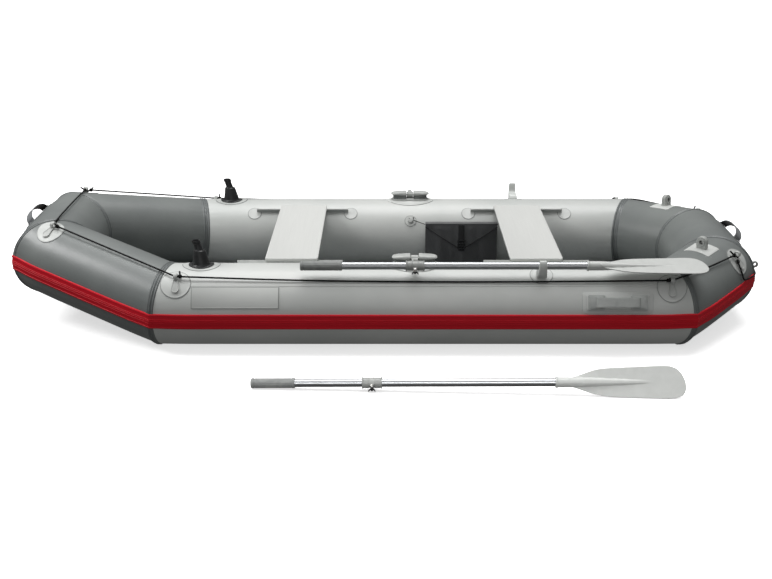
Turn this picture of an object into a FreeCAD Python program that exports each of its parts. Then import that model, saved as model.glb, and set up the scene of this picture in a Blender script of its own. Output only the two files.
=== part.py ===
import FreeCAD, Part
import os
import re
from math import asin, cos, degrees, pi, radians, sin, tan

import Sketcher
from FreeCAD import Placement, Rotation, Vector

# Inflatable dinghy with two sliding benches and a pair of oars.
# Millimetres and degrees. X runs aft, Y to starboard, Z up. The origin is on the floor, under the
# middle of the hull. Eight inflated tubes form the ring of the hull; every fitting is placed by
# its tube, its reach along that tube and its lean outboard from the tube's top.

SIZES = {
    # inflated tubes
    "tube_radius": 152.3, "skin": 1.5, "joint_half": 484.3, "fore_joint": 820, "aft_joint": 1075,
    "bow_reach": 1302.7, "bow_half": 205.7, "bow_lift": 100,
    "stern_reach": 1302.7, "stern_half": 204.5, "stern_lift": 29,
    "trim_block": 700, "band_width": 27, "seam_width": 8, "band_depth": 1.2,
    "tape_sweep": 230, "tape_gap": 0.3,
    "strake_lean": 97.6, "strake_width": 58.8, "strake_depth": 5,
    "bulkhead_x": 130, "bulkhead_depth": 1.5,
    # floor
    "sheet_depth": 2, "floor_depth": 38, "floor_half": 372, "floor_fore": 785, "floor_aft": 1015,
    "floor_hollow": 0.996, "floor_nose": 832, "floor_nose_half": 348, "floor_tail": 1078,
    "floor_tail_half": 300,
    # benches
    "bench_length": 800, "bench_width": 200, "bench_depth": 9, "bench_top": 305, "bench_round": 12,
    "fore_bench_x": -353, "aft_bench_x": 575, "clip_length": 190, "clip_width": 35,
    "clip_depth": 13, "clip_inset": 1, "groove_width": 5.2, "groove_reach": 21.3,
    "rail_length": 400, "rail_height": 20.5, "rail_depth": 4, "rail_lean": 37,
    "fore_rail_x": -360, "aft_rail_x": 575, "rail_patch_radius": 30, "rail_patch_lean": 40,
    "rail_patch_x": 210, "patch_depth": 1.5,
    # oarlocks
    "lock_x": 111, "lock_base_length": 206, "lock_base_width": 116, "lock_base_depth": 3,
    "flange_length": 168, "flange_width": 54, "foot_rise": 9.5, "waist_length": 150,
    "waist_width": 38, "waist_rise": 25, "block_rise": 38.7, "slot_width": 32, "slot_rise": 13.5,
    "hinge_rise": 24.4, "hinge_radius": 4, "hinge_bore": 4.06, "hinge_length": 52,
    "knuckle_radius": 9, "knuckle_length": 28, "lug_depth": 12, "lug_reach": 62,
    "lug_waist": 16, "lug_eye_radius": 8,
    # oars, from the middle of the collar
    "oar_radius": 14, "oar_wall": 1.5, "grip_end": 419,
    "grip_length": 153, "grip_radius": 17.5, "grip_bore": 140, "blade_start": 626,
    "blade_depth": 5, "blade_roll": 13, "socket_length": 62,
    "socket_radius": 17, "socket_bore": 52, "neck_radius": 19, "neck_length": 7,
    "rib_length": 300, "rib_tip": 3, "collar_length": 68, "collar_radius": 20,
    "collar_core": 18, "collar_gap": 18, "collar_flange": 22.5, "collar_flange_length": 3,
    "ear_depth": 4, "ear_rise": 7, "ear_reach": 30, "ear_radius": 8, "trunnion_radius": 4,
    "trunnion_length": 30, "trunnion_head": 6, "trunnion_head_depth": 3, "ball_radius": 7.5,
    "ball_reach": 25, "ball_lean": 110, "nut_lean": 150, "nut_stem_radius": 4,
    "nut_stem_length": 12, "nut_wing_length": 26, "nut_wing_depth": 3, "nut_wing_height": 11,
    "spare_x": -43, "spare_y": -955, "spare_z": 28.4, "spare_roll": 49, "spare_collar_roll": -15,
    "spare_pitch": 1.38, "spare_yaw": 2.85,
    # oar keepers
    "keeper_x": 575, "keeper_lean": 27.6, "keeper_width": 36, "keeper_patch_radius": 43,
    # rope holders and grab line
    "holder_radius": 57, "holder_depth": 2, "fore_holder_x": -764, "fore_holder_lean": 43,
    "aft_holder_x": 1049, "aft_holder_lean": 49, "bow_holder_reach": 33, "bow_holder_lean": 26,
    "stern_holder_reach": 50, "stern_holder_lean": 52, "drop_radius": 15, "drop_depth": 8,
    "drop_reach": 22, "drop_neck": 14, "drop_eye_reach": 24, "drop_eye_rise": 12,
    "drop_eye_radius": 12.5, "drop_eye_length": 14, "drop_bore": 8.4, "rope_radius": 3.25,
    "rope_bend": 30, "knot_radius": 5.5, "knot_length": 13,
    # rod holders
    "rod_x": -681, "rod_tilt": 8, "rod_foot_radius": 35, "rod_neck_radius": 15, "rod_cone": 66,
    "rod_height": 93, "rod_bore": 11, "rod_bore_depth": 76, "rod_flange_length": 92,
    "rod_flange_width": 78, "rod_flange_rise": 6, "rod_patch_length": 142, "rod_patch_width": 106,
    # motor bracket lugs and stern eyes
    "motor_reach": 226, "motor_lean": 3, "motor_patch_length": 95, "motor_patch_width": 104,
    "motor_lug_depth": 26, "motor_lug_width": 42, "motor_lug_rise": 26, "motor_lug_bore": 8.5,
    "stern_eye_y": 200, "stern_eye_lean": 77, "stern_eye_depth": 10, "stern_eye_width": 26,
    "stern_eye_rise": 12, "stern_eye_bore": 6, "eye_foot": 6,
    # handles
    "grab_lean": 43, "grab_half": 115, "grab_rise": 36, "grab_depth": 4, "grab_width": 32,
    "grab_slope": 28, "grab_patch_length": 270, "grab_patch_width": 58,
    "carry_x": 848, "carry_lean": 70, "carry_half": 98, "carry_rise": 27, "carry_depth": 5,
    "carry_width": 36, "carry_slope": 16, "carry_patch_length": 258, "carry_patch_width": 80,
    "name_x": -545, "name_lean": 63, "name_length": 320, "name_width": 82, "name_depth": 2,
    # pouch on the starboard tube
    "pouch_x": 331.5, "pouch_length": 311, "pouch_depth": 27, "pouch_height": 194,
    "pouch_back": 331, "pouch_foot": 52, "cloth": 1.5, "flap_depth": 2, "flap_drop": 107,
    "flap_shoulder": 14, "flap_point": 14, "flap_gap": 0.5,
    "buckle_width": 34, "buckle_height": 40, "buckle_depth": 8, "web_width": 28, "web_depth": 1.5,
    "web_length": 62, "pouch_lug_out": 219.5, "pouch_lug_lean": -54, "pouch_patch_radius": 26,
    "pouch_lug_radius": 12, "pouch_lug_rise": 16, "pouch_lug_bore": 4, "pouch_cord_radius": 1.5,
    # valves
    "valve_lean": -72, "fore_valve_x": -640, "aft_valve_x": 880, "floor_valve_x": 820,
    "floor_valve_y": -250, "valve_flange": 31, "valve_flange_depth": 3, "valve_neck": 19,
    "valve_neck_rise": 13, "valve_bore": 13, "cap_radius": 24, "cap_rise": 17, "cap_wall": 4,
    "cap_bore": 19.75, "cap_gap": 0.5,
}

doc = FreeCAD.newDocument("dinghy")
sheet = doc.addObject("Spreadsheet::Sheet", "Sizes")
for row, (word, number) in enumerate(SIZES.items(), start=1):
    sheet.set(f"A{row}", word)
    sheet.set(f"B{row}", str(number))
    sheet.setAlias(f"B{row}", word)
doc.recompute()

PIECES = []
UP = Vector(0, 0, 1)
# Turns of a shape's own Z: a cylinder laid along X, a flat outline stood across X or along it.
FORWARD = Rotation(UP, Vector(1, 0, 0))
ACROSS = Rotation(Vector(0, 1, 0), Vector(0, 0, 1), Vector(1, 0, 0), "XYZ")
LENGTHWISE = Rotation(Vector(1, 0, 0), Vector(0, 0, 1), Vector(0, -1, 0), "XYZ")


# ---- the document's own helpers ----

def size(word):
    """The number in the sheet's cell of that name."""
    return float(sheet.get(word))


def bind(thing, **sizes):
    """Tie properties to a formula of the sheet's words, or set them to a worked-out length."""
    for name, value in sizes.items():
        if isinstance(value, str):
            thing.setExpression(name, re.sub(r"[a-z]\w+", lambda found: "Sizes." + found.group(), value))
        else:
            setattr(thing, name, value)


def keep(label, thing):
    """Name a finished sub-part, and keep it for the files."""
    thing.Label = label
    PIECES.append(thing)


def moved(place, x=0, y=0, z=0, turn=None):
    """The place shifted, then turned, in its own axes."""
    return place.multiply(Placement(Vector(x, y, z), turn or Rotation()))


def cylinder(place, radius, height):
    thing = doc.addObject("Part::Cylinder", "cylinder")
    bind(thing, Radius=radius, Height=height)
    thing.Placement = place
    return thing


def rod(place, x, radius, length):
    """A cylinder along the place's X axis, from X onwards."""
    return cylinder(moved(place, x, turn=FORWARD), radius, length)


def cone(place, low, high, height):
    thing = doc.addObject("Part::Cone", "cone")
    bind(thing, Radius1=low, Radius2=high, Height=height)
    thing.Placement = place
    return thing


def ball(place, radius):
    thing = doc.addObject("Part::Sphere", "ball")
    bind(thing, Radius=radius)
    thing.Placement = place
    return thing


def block(place, length, width, height):
    """A box that stands on the place's XY plane, centred on its Z axis."""
    thing = doc.addObject("Part::Box", "block")
    bind(thing, Length=length, Width=width, Height=height)
    thing.recompute()
    thing.Placement = moved(place, -thing.Length.Value / 2, -thing.Width.Value / 2)
    return thing


def oval(place, length, width, height):
    """An elliptical prism that stands on the place's XY plane."""
    ring = doc.addObject("Part::Ellipse", "oval")
    bind(ring, MajorRadius=f"{length} / 2", MinorRadius=f"{width} / 2")
    ring.Placement = place
    prism = doc.addObject("Part::Extrusion", "oval_prism")
    prism.Base = ring
    prism.Dir = place.Rotation.multVec(UP)
    prism.Solid = True
    bind(prism, LengthFwd=height)
    return prism


def plate(place, points, depth):
    """A flat plate: a closed outline on the body's own XY plane, padded upwards."""
    body = doc.addObject("PartDesign::Body", "plate")
    outline = body.newObject("Sketcher::SketchObject", "outline")
    plane = next(p for p in body.Origin.OriginFeatures if p.Role == "XY_Plane")
    outline.AttachmentSupport = (plane, "")
    outline.MapMode = "FlatFace"
    ends = [Vector(x, y, 0) for x, y in points]
    for number, end in enumerate(ends):
        outline.addGeometry(Part.LineSegment(end, ends[(number + 1) % len(ends)]), False)
    for number in range(len(ends)):
        joint = Sketcher.Constraint("Coincident", number, 2, (number + 1) % len(ends), 1)
        outline.addConstraint(joint)
    pad = body.newObject("PartDesign::Pad", "pad")
    pad.Profile = outline
    bind(pad, Length=depth)
    body.Placement = place
    return body


def cut(base, *tools):
    for tool in tools:
        thing = doc.addObject("Part::Cut", "cut")
        thing.Base = base
        thing.Tool = tool
        base = thing
    return base


def fuse(*pieces):
    thing = doc.addObject("Part::MultiFuse", "fused")
    thing.Shapes = list(pieces)
    thing.Refine = True
    return thing


def common(*pieces):
    thing = doc.addObject("Part::MultiCommon", "common")
    thing.Shapes = list(pieces)
    return thing


def group(*pieces):
    """Identical pieces that share one sub-part as separate solids."""
    thing = doc.addObject("Part::Compound", "group")
    thing.Links = list(pieces)
    return thing


# ---- the ring of tubes ----

class Tube:
    """A straight tube of the ring, from one joint to the next."""

    def __init__(self, start, end):
        self.start = start
        self.end = end
        self.length = (end - start).Length
        self.axis = (end - start).normalize()
        self.side = self.axis.cross(UP).normalize()
        self.top = self.side.cross(self.axis)

    def outward(self, lean):
        """The direction straight away from the tube, leaning outboard from its top."""
        return self.top * cos(radians(lean)) + self.side * sin(radians(lean))

    def spot(self, reach, lean, height=0.0):
        """A place on the tube's skin: X along the tube, Z away from it, Y back over its top."""
        away = self.outward(lean)
        point = self.start + self.axis * reach + away * (size("tube_radius") + height)
        return Placement(point, Rotation(self.axis, away.cross(self.axis), away, "XZY"))

    def core(self, radius):
        """A solid cylinder along the tube, longer than it at both ends."""
        spare = size("trim_block") / 2
        turn = Rotation(UP, self.axis)
        begin = self.start - self.axis * spare
        return cylinder(Placement(begin, turn), radius, self.length + 2 * spare)


axis_z = size("tube_radius") + size("sheet_depth")
half = [
    Vector(-size("fore_joint"), -size("joint_half"), axis_z),
    Vector(size("aft_joint"), -size("joint_half"), axis_z),
    Vector(size("stern_reach"), -size("stern_half"), axis_z + size("stern_lift")),
]
nose = Vector(-size("bow_reach"), -size("bow_half"), axis_z + size("bow_lift"))
mirrored = [Vector(p.x, -p.y, p.z) for p in [nose] + half][::-1]
JOINTS = half + mirrored + [nose]
TUBES = [Tube(JOINTS[i], JOINTS[(i + 1) % len(JOINTS)]) for i in range(len(JOINTS))]
TUBE_NAMES = ["port_tube", "stern_port_tube", "stern_tube", "stern_starboard_tube",
              "starboard_tube", "bow_starboard_tube", "bow_tube", "bow_port_tube"]
(PORT, STERN_PORT, STERN, STERN_STARBOARD, STARBOARD, BOW_STARBOARD, BOW, BOW_PORT) = TUBES


def mitre(number):
    """The direction square to the mitre plane at a joint, pointing round the ring."""
    return (TUBES[number - 1].axis + TUBES[number % len(TUBES)].axis).normalize()


def beyond(point, direction):
    """A large block on one side of a plane through the point."""
    place = Placement(point, Rotation(UP, direction))
    return block(place, "trim_block", "trim_block", "trim_block")


def mitred(base, number):
    """Trim a long piece of tube to the mitre planes at its two ends."""
    tube = TUBES[number]
    start = beyond(tube.start, mitre(number) * -1)
    end = beyond(tube.end, mitre(number + 1))
    return cut(base, start, end)


def shell(number, inner, outer):
    """A mitred length of pipe round one tube's axis."""
    tube = TUBES[number]
    return mitred(cut(tube.core(outer), tube.core(inner)), number)


def on_skin(tube, prism, depth):
    """The part of a prism that lies in a thin layer on the tube: a glued patch."""
    layer = cut(tube.core(f"tube_radius + {depth}"), tube.core("tube_radius"))
    return common(layer, prism)


def round_patch(tube, reach, lean, radius, depth="patch_depth"):
    place = tube.spot(reach, lean, -size("tube_radius") / 2)
    return on_skin(tube, cylinder(place, radius, "tube_radius"), depth)


def oval_patch(tube, reach, lean, length, width, depth="patch_depth"):
    place = tube.spot(reach, lean, -size("tube_radius") / 2)
    return on_skin(tube, oval(place, length, width, "tube_radius"), depth)


def square_patch(tube, reach, lean, length, width, depth="patch_depth"):
    place = tube.spot(reach, lean, -size("tube_radius") / 2)
    return on_skin(tube, block(place, length, width, "tube_radius"), depth)


def seated(tube, fitting, depth="patch_depth"):
    """A fitting with its foot cut to lie on a patch of that depth."""
    return cut(fitting, tube.core(f"tube_radius + {depth}"))


for number, name in enumerate(TUBE_NAMES):
    keep(name, shell(number, "tube_radius - skin", "tube_radius"))

# The strake's middle is carried across each mitre, so that its eight lengths meet. A step is
# the tube it reaches, the tube it comes from and the joint between them.
STRAKE_STEPS = ((7, 0, 0), (6, 7, 7), (1, 0, 1), (2, 1, 2))
STRAKE_TWINS = ((3, 1), (4, 0), (5, 7))
strake_rays = {0: PORT.outward(size("strake_lean"))}
for number, before, joint in STRAKE_STEPS:
    corner = mitre(joint)
    ray = strake_rays[before]
    ray = ray - TUBES[before].axis * (corner.dot(ray) / corner.dot(TUBES[before].axis))
    strake_rays[number] = (ray - TUBES[number].axis * ray.dot(TUBES[number].axis)).normalize()
for number, twin in STRAKE_TWINS:
    ray = strake_rays[twin]
    strake_rays[number] = Vector(ray.x, -ray.y, ray.z)


def strake_length(number):
    """One tube's length of the rubbing strake."""
    tube = TUBES[number]
    away = strake_rays[number]
    middle = tube.start + tube.axis * (tube.length / 2) + away * (size("tube_radius") / 2)
    place = Placement(middle, Rotation(tube.axis, away.cross(tube.axis), away, "XZY"))
    bar = block(place, tube.length + size("trim_block"), "strake_width", "tube_radius")
    layer = cut(tube.core("tube_radius + strake_depth"), tube.core("tube_radius"))
    return mitred(common(layer, bar), number)


keep("rub_strake", fuse(*[strake_length(number) for number in range(len(TUBES))]))


def bulkhead(tube):
    reach = abs(size("bulkhead_x") - tube.start.x)
    place = Placement(tube.start + tube.axis * reach, Rotation(UP, tube.axis))
    return cylinder(place, "tube_radius - skin", "bulkhead_depth")


keep("bulkheads", group(bulkhead(PORT), bulkhead(STARBOARD)))


# ---- floor ----

def folded_sheet():
    """The bottom sheet: flat amidships, folded up to follow the tubes at the bow and the stern."""
    radius = size("tube_radius")
    depth = size("sheet_depth")
    rise = {-1: size("bow_lift") / (size("bow_reach") - size("fore_joint")),
            1: size("stern_lift") / (size("stern_reach") - size("aft_joint"))}
    joint = {-1: size("fore_joint"), 1: size("aft_joint")}
    end = {-1: size("bow_reach"), 1: size("stern_reach")}
    upper, lower, plan = [], [], []
    for way, line_half in ((-1, "bow_half"), (1, "stern_half")):
        steep = rise[way]
        slope = (1 + steep * steep) ** 0.5
        fold = (slope - 1) / steep
        tip = end[way] + radius * steep / slope
        tip_z = depth + (tip - joint[way] - radius * fold) * steep
        for line, below in ((upper, 0), (lower, depth)):
            bend = (way * (joint[way] + (radius + below) * fold), depth - below)
            last = (way * (tip + below * steep / slope), tip_z - below / slope)
            line.extend([last, bend] if way < 0 else [bend, last])
        shoulder = way * (joint[way] + radius * fold)
        plan.append([(shoulder, size("joint_half")), (way * tip, size(line_half))])
    outline = upper + lower[::-1]
    side = Placement(Vector(0, size("joint_half"), 0), LENGTHWISE)
    bow_side, stern_side = plan[0][::-1], plan[1]
    half_plan = bow_side + stern_side
    whole_plan = half_plan + [(x, -y) for x, y in half_plan[::-1]]
    return common(plate(side, outline, "2 * joint_half"),
                  plate(Placement(), whole_plan, "tube_radius"))


keep("bottom_sheet", folded_sheet())
floor_side = [(-size("floor_nose"), size("floor_nose_half")), (-size("floor_fore"), size("floor_half")),
              (size("floor_aft"), size("floor_half")), (size("floor_tail"), size("floor_tail_half"))]
floor_outline = floor_side + [(x, -y) for x, y in floor_side[::-1]]
floor_hollow = [(x * size("floor_hollow"), y * size("floor_hollow")) for x, y in floor_outline]
floor_skin = Placement(Vector(0, 0, size("sheet_depth")), Rotation())
keep("air_floor", cut(plate(floor_skin, floor_outline, "floor_depth"),
                      plate(moved(floor_skin, z=size("skin")), floor_hollow, "floor_depth - 2 * skin")))


# ---- benches on their rails ----

def straight(x, tube):
    """How far along a straight side tube the given X lies."""
    return abs(x - tube.start.x)


def bench(label, x):
    """A flat board, its four corners rounded."""
    place = Placement(Vector(x, 0, size("bench_top") - size("bench_depth")), Rotation())
    wide, far = size("bench_width") / 2, size("bench_length") / 2
    body = plate(place, [(-wide, -far), (wide, -far), (wide, far), (-wide, far)], "bench_depth")
    doc.recompute()
    pad = body.Tip
    corners = [f"Edge{n}" for n, edge in enumerate(pad.Shape.Edges, start=1)
               if edge.BoundBox.ZLength > edge.Length / 2]
    rounded = body.newObject("PartDesign::Fillet", "rounded")
    rounded.Base = (pad, corners)
    bind(rounded, Radius="bench_round")
    body.Tip = rounded
    keep(label, body)


def bench_clip(tube, x):
    """The bar under a bench's end, with the groove that slides on the rail."""
    outer = size("bench_length") / 2 - size("clip_inset")
    side = 1 if tube.start.y > 0 else -1
    low = size("bench_top") - size("bench_depth") - size("clip_depth")
    place = Placement(Vector(x, side * (outer - size("clip_width") / 2), low), Rotation())
    groove = tube.spot(straight(x, tube), -size("rail_lean"), -size("rail_height"))
    return cut(block(place, "clip_length", "clip_width", "clip_depth"),
               block(groove, "bench_width", "groove_width", "rail_height + groove_reach"))


def bench_rail(tube, x):
    place = tube.spot(straight(x, tube), -size("rail_lean"), -size("patch_depth"))
    return cut(block(place, "rail_length", "rail_depth", "rail_height + patch_depth"),
               tube.core("tube_radius"))


SIDES = (PORT, STARBOARD)
for label, word in (("fore_bench", "fore_bench_x"), ("aft_bench", "aft_bench_x")):
    bench(label, size(word))
    keep(label + "_clips", group(*[bench_clip(tube, size(word)) for tube in SIDES]))
rails, round_patches = [], []
for tube in SIDES:
    for word in ("fore_rail_x", "aft_rail_x"):
        rail = bench_rail(tube, size(word))
        rails.append(rail)
        for way in (-1, 1):
            end = size(word) + way * size("rail_patch_x")
            patch = round_patch(tube, straight(end, tube), -size("rail_patch_lean"), "rail_patch_radius")
            round_patches.append(cut(patch, rail))
keep("bench_rails", group(*rails))


# ---- oarlocks ----

def on_top(tube, x, rise=0.0):
    return tube.spot(straight(x, tube), 0, rise)


def oarlock_block(tube):
    """An oval spool with a slot across its middle for the lug."""
    foot = on_top(tube, size("lock_x"), -size("lock_base_depth"))
    middle = on_top(tube, size("lock_x"), size("foot_rise"))
    head = on_top(tube, size("lock_x"), size("waist_rise"))
    spool = fuse(oval(foot, "flange_length", "flange_width", "foot_rise + lock_base_depth"),
                 oval(middle, "waist_length", "waist_width", "waist_rise - foot_rise"),
                 oval(head, "flange_length", "flange_width", "block_rise - waist_rise"))
    slot = on_top(tube, size("lock_x"), size("slot_rise"))
    gap = block(slot, "slot_width", "2 * flange_width", "block_rise")
    return seated(tube, cut(spool, gap, hinge_pin(tube)), "lock_base_depth")


def hinge_pin(tube):
    """The pin along the slot's width that the lug turns on."""
    middle = on_top(tube, size("lock_x"), size("hinge_rise"))
    return rod(middle, -size("hinge_length") / 2, "hinge_radius", "hinge_length")


def oarlock_lug(tube):
    """A knuckle on the hinge pin, and a tapering tongue outboard to an upright eye."""
    middle = on_top(tube, size("lock_x"), size("hinge_rise"))
    knuckle = rod(middle, -size("knuckle_length") / 2, "knuckle_radius", "knuckle_length")
    bore = rod(middle, -size("knuckle_length"), "hinge_bore", "2 * knuckle_length")
    wide, narrow, far = size("knuckle_length") / 2, size("lug_waist") / 2, size("lug_reach")
    low = moved(middle, z=-size("lug_depth") / 2)
    tongue = plate(low, [(-wide, 0), (-narrow, -far), (narrow, -far), (wide, 0)], "lug_depth")
    tip = moved(low, y=-far)
    eye = cylinder(tip, "lug_eye_radius", "lug_depth")
    return cut(fuse(knuckle, tongue, eye), bore, cylinder(tip, "hinge_bore", "lug_depth"))


keep("oarlock_bases", group(*[oval_patch(tube, straight(size("lock_x"), tube), 0, "lock_base_length",
                                         "lock_base_width", "lock_base_depth") for tube in SIDES]))
keep("oarlock_blocks", group(*[oarlock_block(tube) for tube in SIDES]))
keep("oarlock_pins", group(*[hinge_pin(tube) for tube in SIDES]))
keep("port_oarlock_lug", oarlock_lug(PORT))
keep("starboard_oarlock_lug", oarlock_lug(STARBOARD))


# ---- oars: X towards the blade, Y towards the hull, Z up, from the middle of the collar ----

# The blade's outline from the start of its socket: the upper edge out, the lower edge back.
BLADE_UPPER = [(45, 14), (86, 26), (119, 37), (145, 44), (185, 48), (250, 51), (315, 54), (370, 55.5),
               (400, 50), (422, 33), (434, 12)]
BLADE_LOWER = [(440, -10), (438, -28), (428, -45), (408, -55), (370, -57.5), (340, -56), (275, -54),
               (220, -52), (173, -49), (140, -43), (105, -33), (70, -21), (45, -14)]


def oar_shaft(place):
    start = -size("grip_end") + size("grip_length") - size("grip_bore")
    end = size("blade_start") + size("socket_bore")
    return cut(rod(place, start, "oar_radius", end - start),
               rod(place, start, "oar_radius - oar_wall", end - start))


def oar_grip(place):
    start = -size("grip_end")
    bore = start + size("grip_length") - size("grip_bore")
    return cut(rod(place, start, "grip_radius", "grip_length"),
               rod(place, bore, "oar_radius", "grip_bore"))


def oar_blade(place):
    """A socket with a neck ring, a flat blade with a slanting end, and a rib that runs out."""
    rolled = moved(place, size("blade_start"), turn=Rotation(Vector(1, 0, 0), size("blade_roll")))
    rib = moved(rolled, size("socket_length"), turn=FORWARD)
    sole = moved(rolled, z=-size("blade_depth") / 2)
    whole = fuse(rod(rolled, 0, "socket_radius", "socket_length"),
                 rod(rolled, 0, "neck_radius", "neck_length"),
                 cone(rib, "socket_radius", "rib_tip", "rib_length"),
                 plate(sole, BLADE_UPPER + BLADE_LOWER, "blade_depth"))
    return cut(whole, rod(rolled, 0, "oar_radius", "socket_bore"))


def oar_collar(place):
    """Two flanged rings on a core, and a pair of ears for the lug's eye."""
    ring = (size("collar_length") - size("collar_gap")) / 2
    far, reach = size("collar_length") / 2, size("ear_reach")
    pieces = [rod(place, -far, "collar_core", "collar_length")]
    for start in (-far, far - ring):
        pieces.append(rod(place, start, "collar_radius", ring))
    for start in (-far, far - size("collar_flange_length")):
        pieces.append(rod(place, start, "collar_flange", "collar_flange_length"))
    for low in (size("ear_rise"), -size("ear_rise") - size("ear_depth")):
        pieces.append(cylinder(moved(place, y=reach, z=low), "ear_radius", "ear_depth"))
        pieces.append(block(moved(place, y=reach / 2, z=low), "2 * ear_radius", "ear_reach", "ear_depth"))
    hole = moved(place, y=reach, z=-size("trunnion_length"))
    return cut(fuse(*pieces), rod(place, -size("collar_length"), "oar_radius", "2 * collar_length"),
               cylinder(hole, "trunnion_radius", "2 * trunnion_length"), clamp_bolt(place))


def clamp_bolt(place):
    """The ball-headed bolt that closes the collar on the shaft."""
    start = moved(place, turn=Rotation(Vector(1, 0, 0), size("ball_lean")))
    stub = cylinder(moved(start, z=size("oar_radius")), "nut_stem_radius", "ball_reach - oar_radius")
    return fuse(stub, ball(moved(start, z=size("ball_reach")), "ball_radius"))


def oar_bolt(place):
    """The collar's clamp bolt, its wing nut, and the upright pivot bolt through the lug's eye."""
    low = moved(place, y=size("ear_reach"), z=-size("trunnion_length") / 2)
    high = moved(low, z=size("trunnion_length") - size("trunnion_head_depth"))
    pivot = fuse(cylinder(low, "trunnion_radius", "trunnion_length"),
                 cylinder(high, "trunnion_head", "trunnion_head_depth"),
                 cylinder(low, "trunnion_head", "trunnion_head_depth"))
    stem = moved(moved(place, turn=Rotation(Vector(1, 0, 0), size("nut_lean"))), z=size("collar_core"))
    wings = block(moved(stem, z=size("nut_stem_radius")), "nut_wing_length", "nut_wing_depth",
                  "nut_wing_height")
    nut = cut(fuse(cylinder(stem, "nut_stem_radius", "nut_stem_length"), wings),
              rod(place, -size("collar_length"), "collar_core", "2 * collar_length"))
    return group(clamp_bolt(place), pivot, nut)


# The port oar hangs on its lug, beside the hull. The spare lies on the floor on the end of its
# grip and the edge of its blade, turned a little away from the hull, its collar turned on the shaft.
stowed_y = -size("joint_half") - size("lug_reach") - size("ear_reach")
stowed_z = axis_z + size("tube_radius") + size("hinge_rise")
port_place = Placement(Vector(size("lock_x"), stowed_y, stowed_z), Rotation())
spare_line = Placement(Vector(size("spare_x"), size("spare_y"), size("spare_z")),
                       Rotation(UP, -size("spare_yaw")) * Rotation(Vector(0, -1, 0), size("spare_pitch")))
spare_place = moved(spare_line, turn=Rotation(Vector(1, 0, 0), size("spare_roll")))
spare_collar = moved(spare_line, turn=Rotation(Vector(1, 0, 0), size("spare_collar_roll")))
for side, place, collar_place in (("port", port_place, port_place), ("spare", spare_place, spare_collar)):
    keep(side + "_oar_shaft", oar_shaft(place))
    keep(side + "_oar_grip", oar_grip(place))
    keep(side + "_oar_blade", oar_blade(place))
    keep(side + "_oar_collar", oar_collar(collar_place))
    keep(side + "_oar_bolts", oar_bolt(collar_place))


# ---- oar keepers ----

# The keeper's section: inboard is positive, and the second number is the height off the tube.
KEEPER_OUTLINE = [(-27, -12), (-28, 22), (-30, 46), (-26, 60), (-18, 67), (-10, 63.5), (-14.8, 56),
                  (-15, 47), (-12.6, 38.5), (-7, 31.5), (0, 28), (9, 23.4), (17, 18.6), (21, 8), (21, -12)]


def oar_keeper(tube):
    """A low saddle with a tall outboard finger, open upwards so that the shaft lifts out."""
    place = tube.spot(straight(size("keeper_x"), tube), size("keeper_lean"))
    whole = plate(moved(place, -size("keeper_width") / 2, turn=ACROSS), KEEPER_OUTLINE, "keeper_width")
    return seated(tube, whole)


keep("oar_keepers", group(*[oar_keeper(tube) for tube in SIDES]))
for tube in SIDES:
    round_patches.append(round_patch(tube, straight(size("keeper_x"), tube), size("keeper_lean"),
                                     "keeper_patch_radius"))


# ---- rope holders ----

def holder_spots():
    """Where the eight rope holders sit: tube, reach along it, lean outboard."""
    spots = [(tube, straight(size(end + "_holder_x"), tube), size(end + "_holder_lean"))
             for tube in SIDES for end in ("fore", "aft")]
    bow, stern = size("bow_holder_reach"), size("stern_holder_reach")
    spots.append((BOW_PORT, bow, size("bow_holder_lean")))
    spots.append((BOW_STARBOARD, BOW_STARBOARD.length - bow, size("bow_holder_lean")))
    spots.append((STERN_PORT, STERN_PORT.length - stern, size("stern_holder_lean")))
    spots.append((STERN_STARBOARD, stern, size("stern_holder_lean")))
    return spots


def rope_holder(tube, reach, lean):
    """A drop-shaped lug whose upper end is an eye along the tube."""
    place = tube.spot(reach, lean)
    low = moved(place, y=-size("drop_reach"))
    eye = moved(place, y=size("drop_eye_reach"), z=size("drop_eye_rise"))
    middle = moved(place, y=(size("drop_eye_reach") - size("drop_reach")) / 2)
    body = fuse(cylinder(low, "drop_radius", "drop_depth"),
                block(middle, "drop_neck", "drop_reach + drop_eye_reach", "drop_depth"),
                rod(eye, -size("drop_eye_length") / 2, "drop_eye_radius", "drop_eye_length"))
    through = rod(eye, -size("drop_eye_length"), "drop_bore", "2 * drop_eye_length")
    return seated(tube, cut(body, through), "holder_depth")


keep("rope_holder_discs", group(*[round_patch(*spot, "holder_radius", "holder_depth")
                                  for spot in holder_spots()]))
keep("rope_holder_lugs", group(*[rope_holder(*spot) for spot in holder_spots()]))


# ---- seam tapes ----

def tape_half(number, slab, holes):
    """One tube's half of the tape at a joint: an arc from the strake's edge over to the floor."""
    tube = TUBES[number]
    back = tube.axis * -1
    strake_edge = degrees(asin(size("strake_width") / 2 / size("tube_radius"))) + size("tape_gap")
    first = Rotation(back, strake_edge).multVec(strake_rays[number])
    spare = size("trim_block") / 2
    place = Placement(tube.end + tube.axis * spare, Rotation(first, back.cross(first), back, "ZXY"))
    arc = cylinder(place, "tube_radius + band_depth", tube.length + 2 * spare)
    bind(arc, Angle="tape_sweep")
    layer = cut(arc, tube.core("tube_radius"))
    return cut(common(layer, slab), *holes)


def seam_tape(number, width):
    """The two halves of a tape, left open where a rope holder's disc lies."""
    before = (number - 1) % len(TUBES)
    holes = [cylinder(tube.spot(reach, lean, -size("tube_radius") / 2), "holder_radius", "tube_radius")
             for tube, reach, lean in holder_spots() if tube in (TUBES[before], TUBES[number])]
    halves = []
    for tube_number, start in ((before, -size(width) / 2), (number, 0)):
        place = Placement(JOINTS[number] + mitre(number) * start, Rotation(UP, mitre(number)))
        slab = block(place, "trim_block", "trim_block", f"{width} / 2")
        halves.append(tape_half(tube_number, slab, holes))
    return halves


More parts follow.
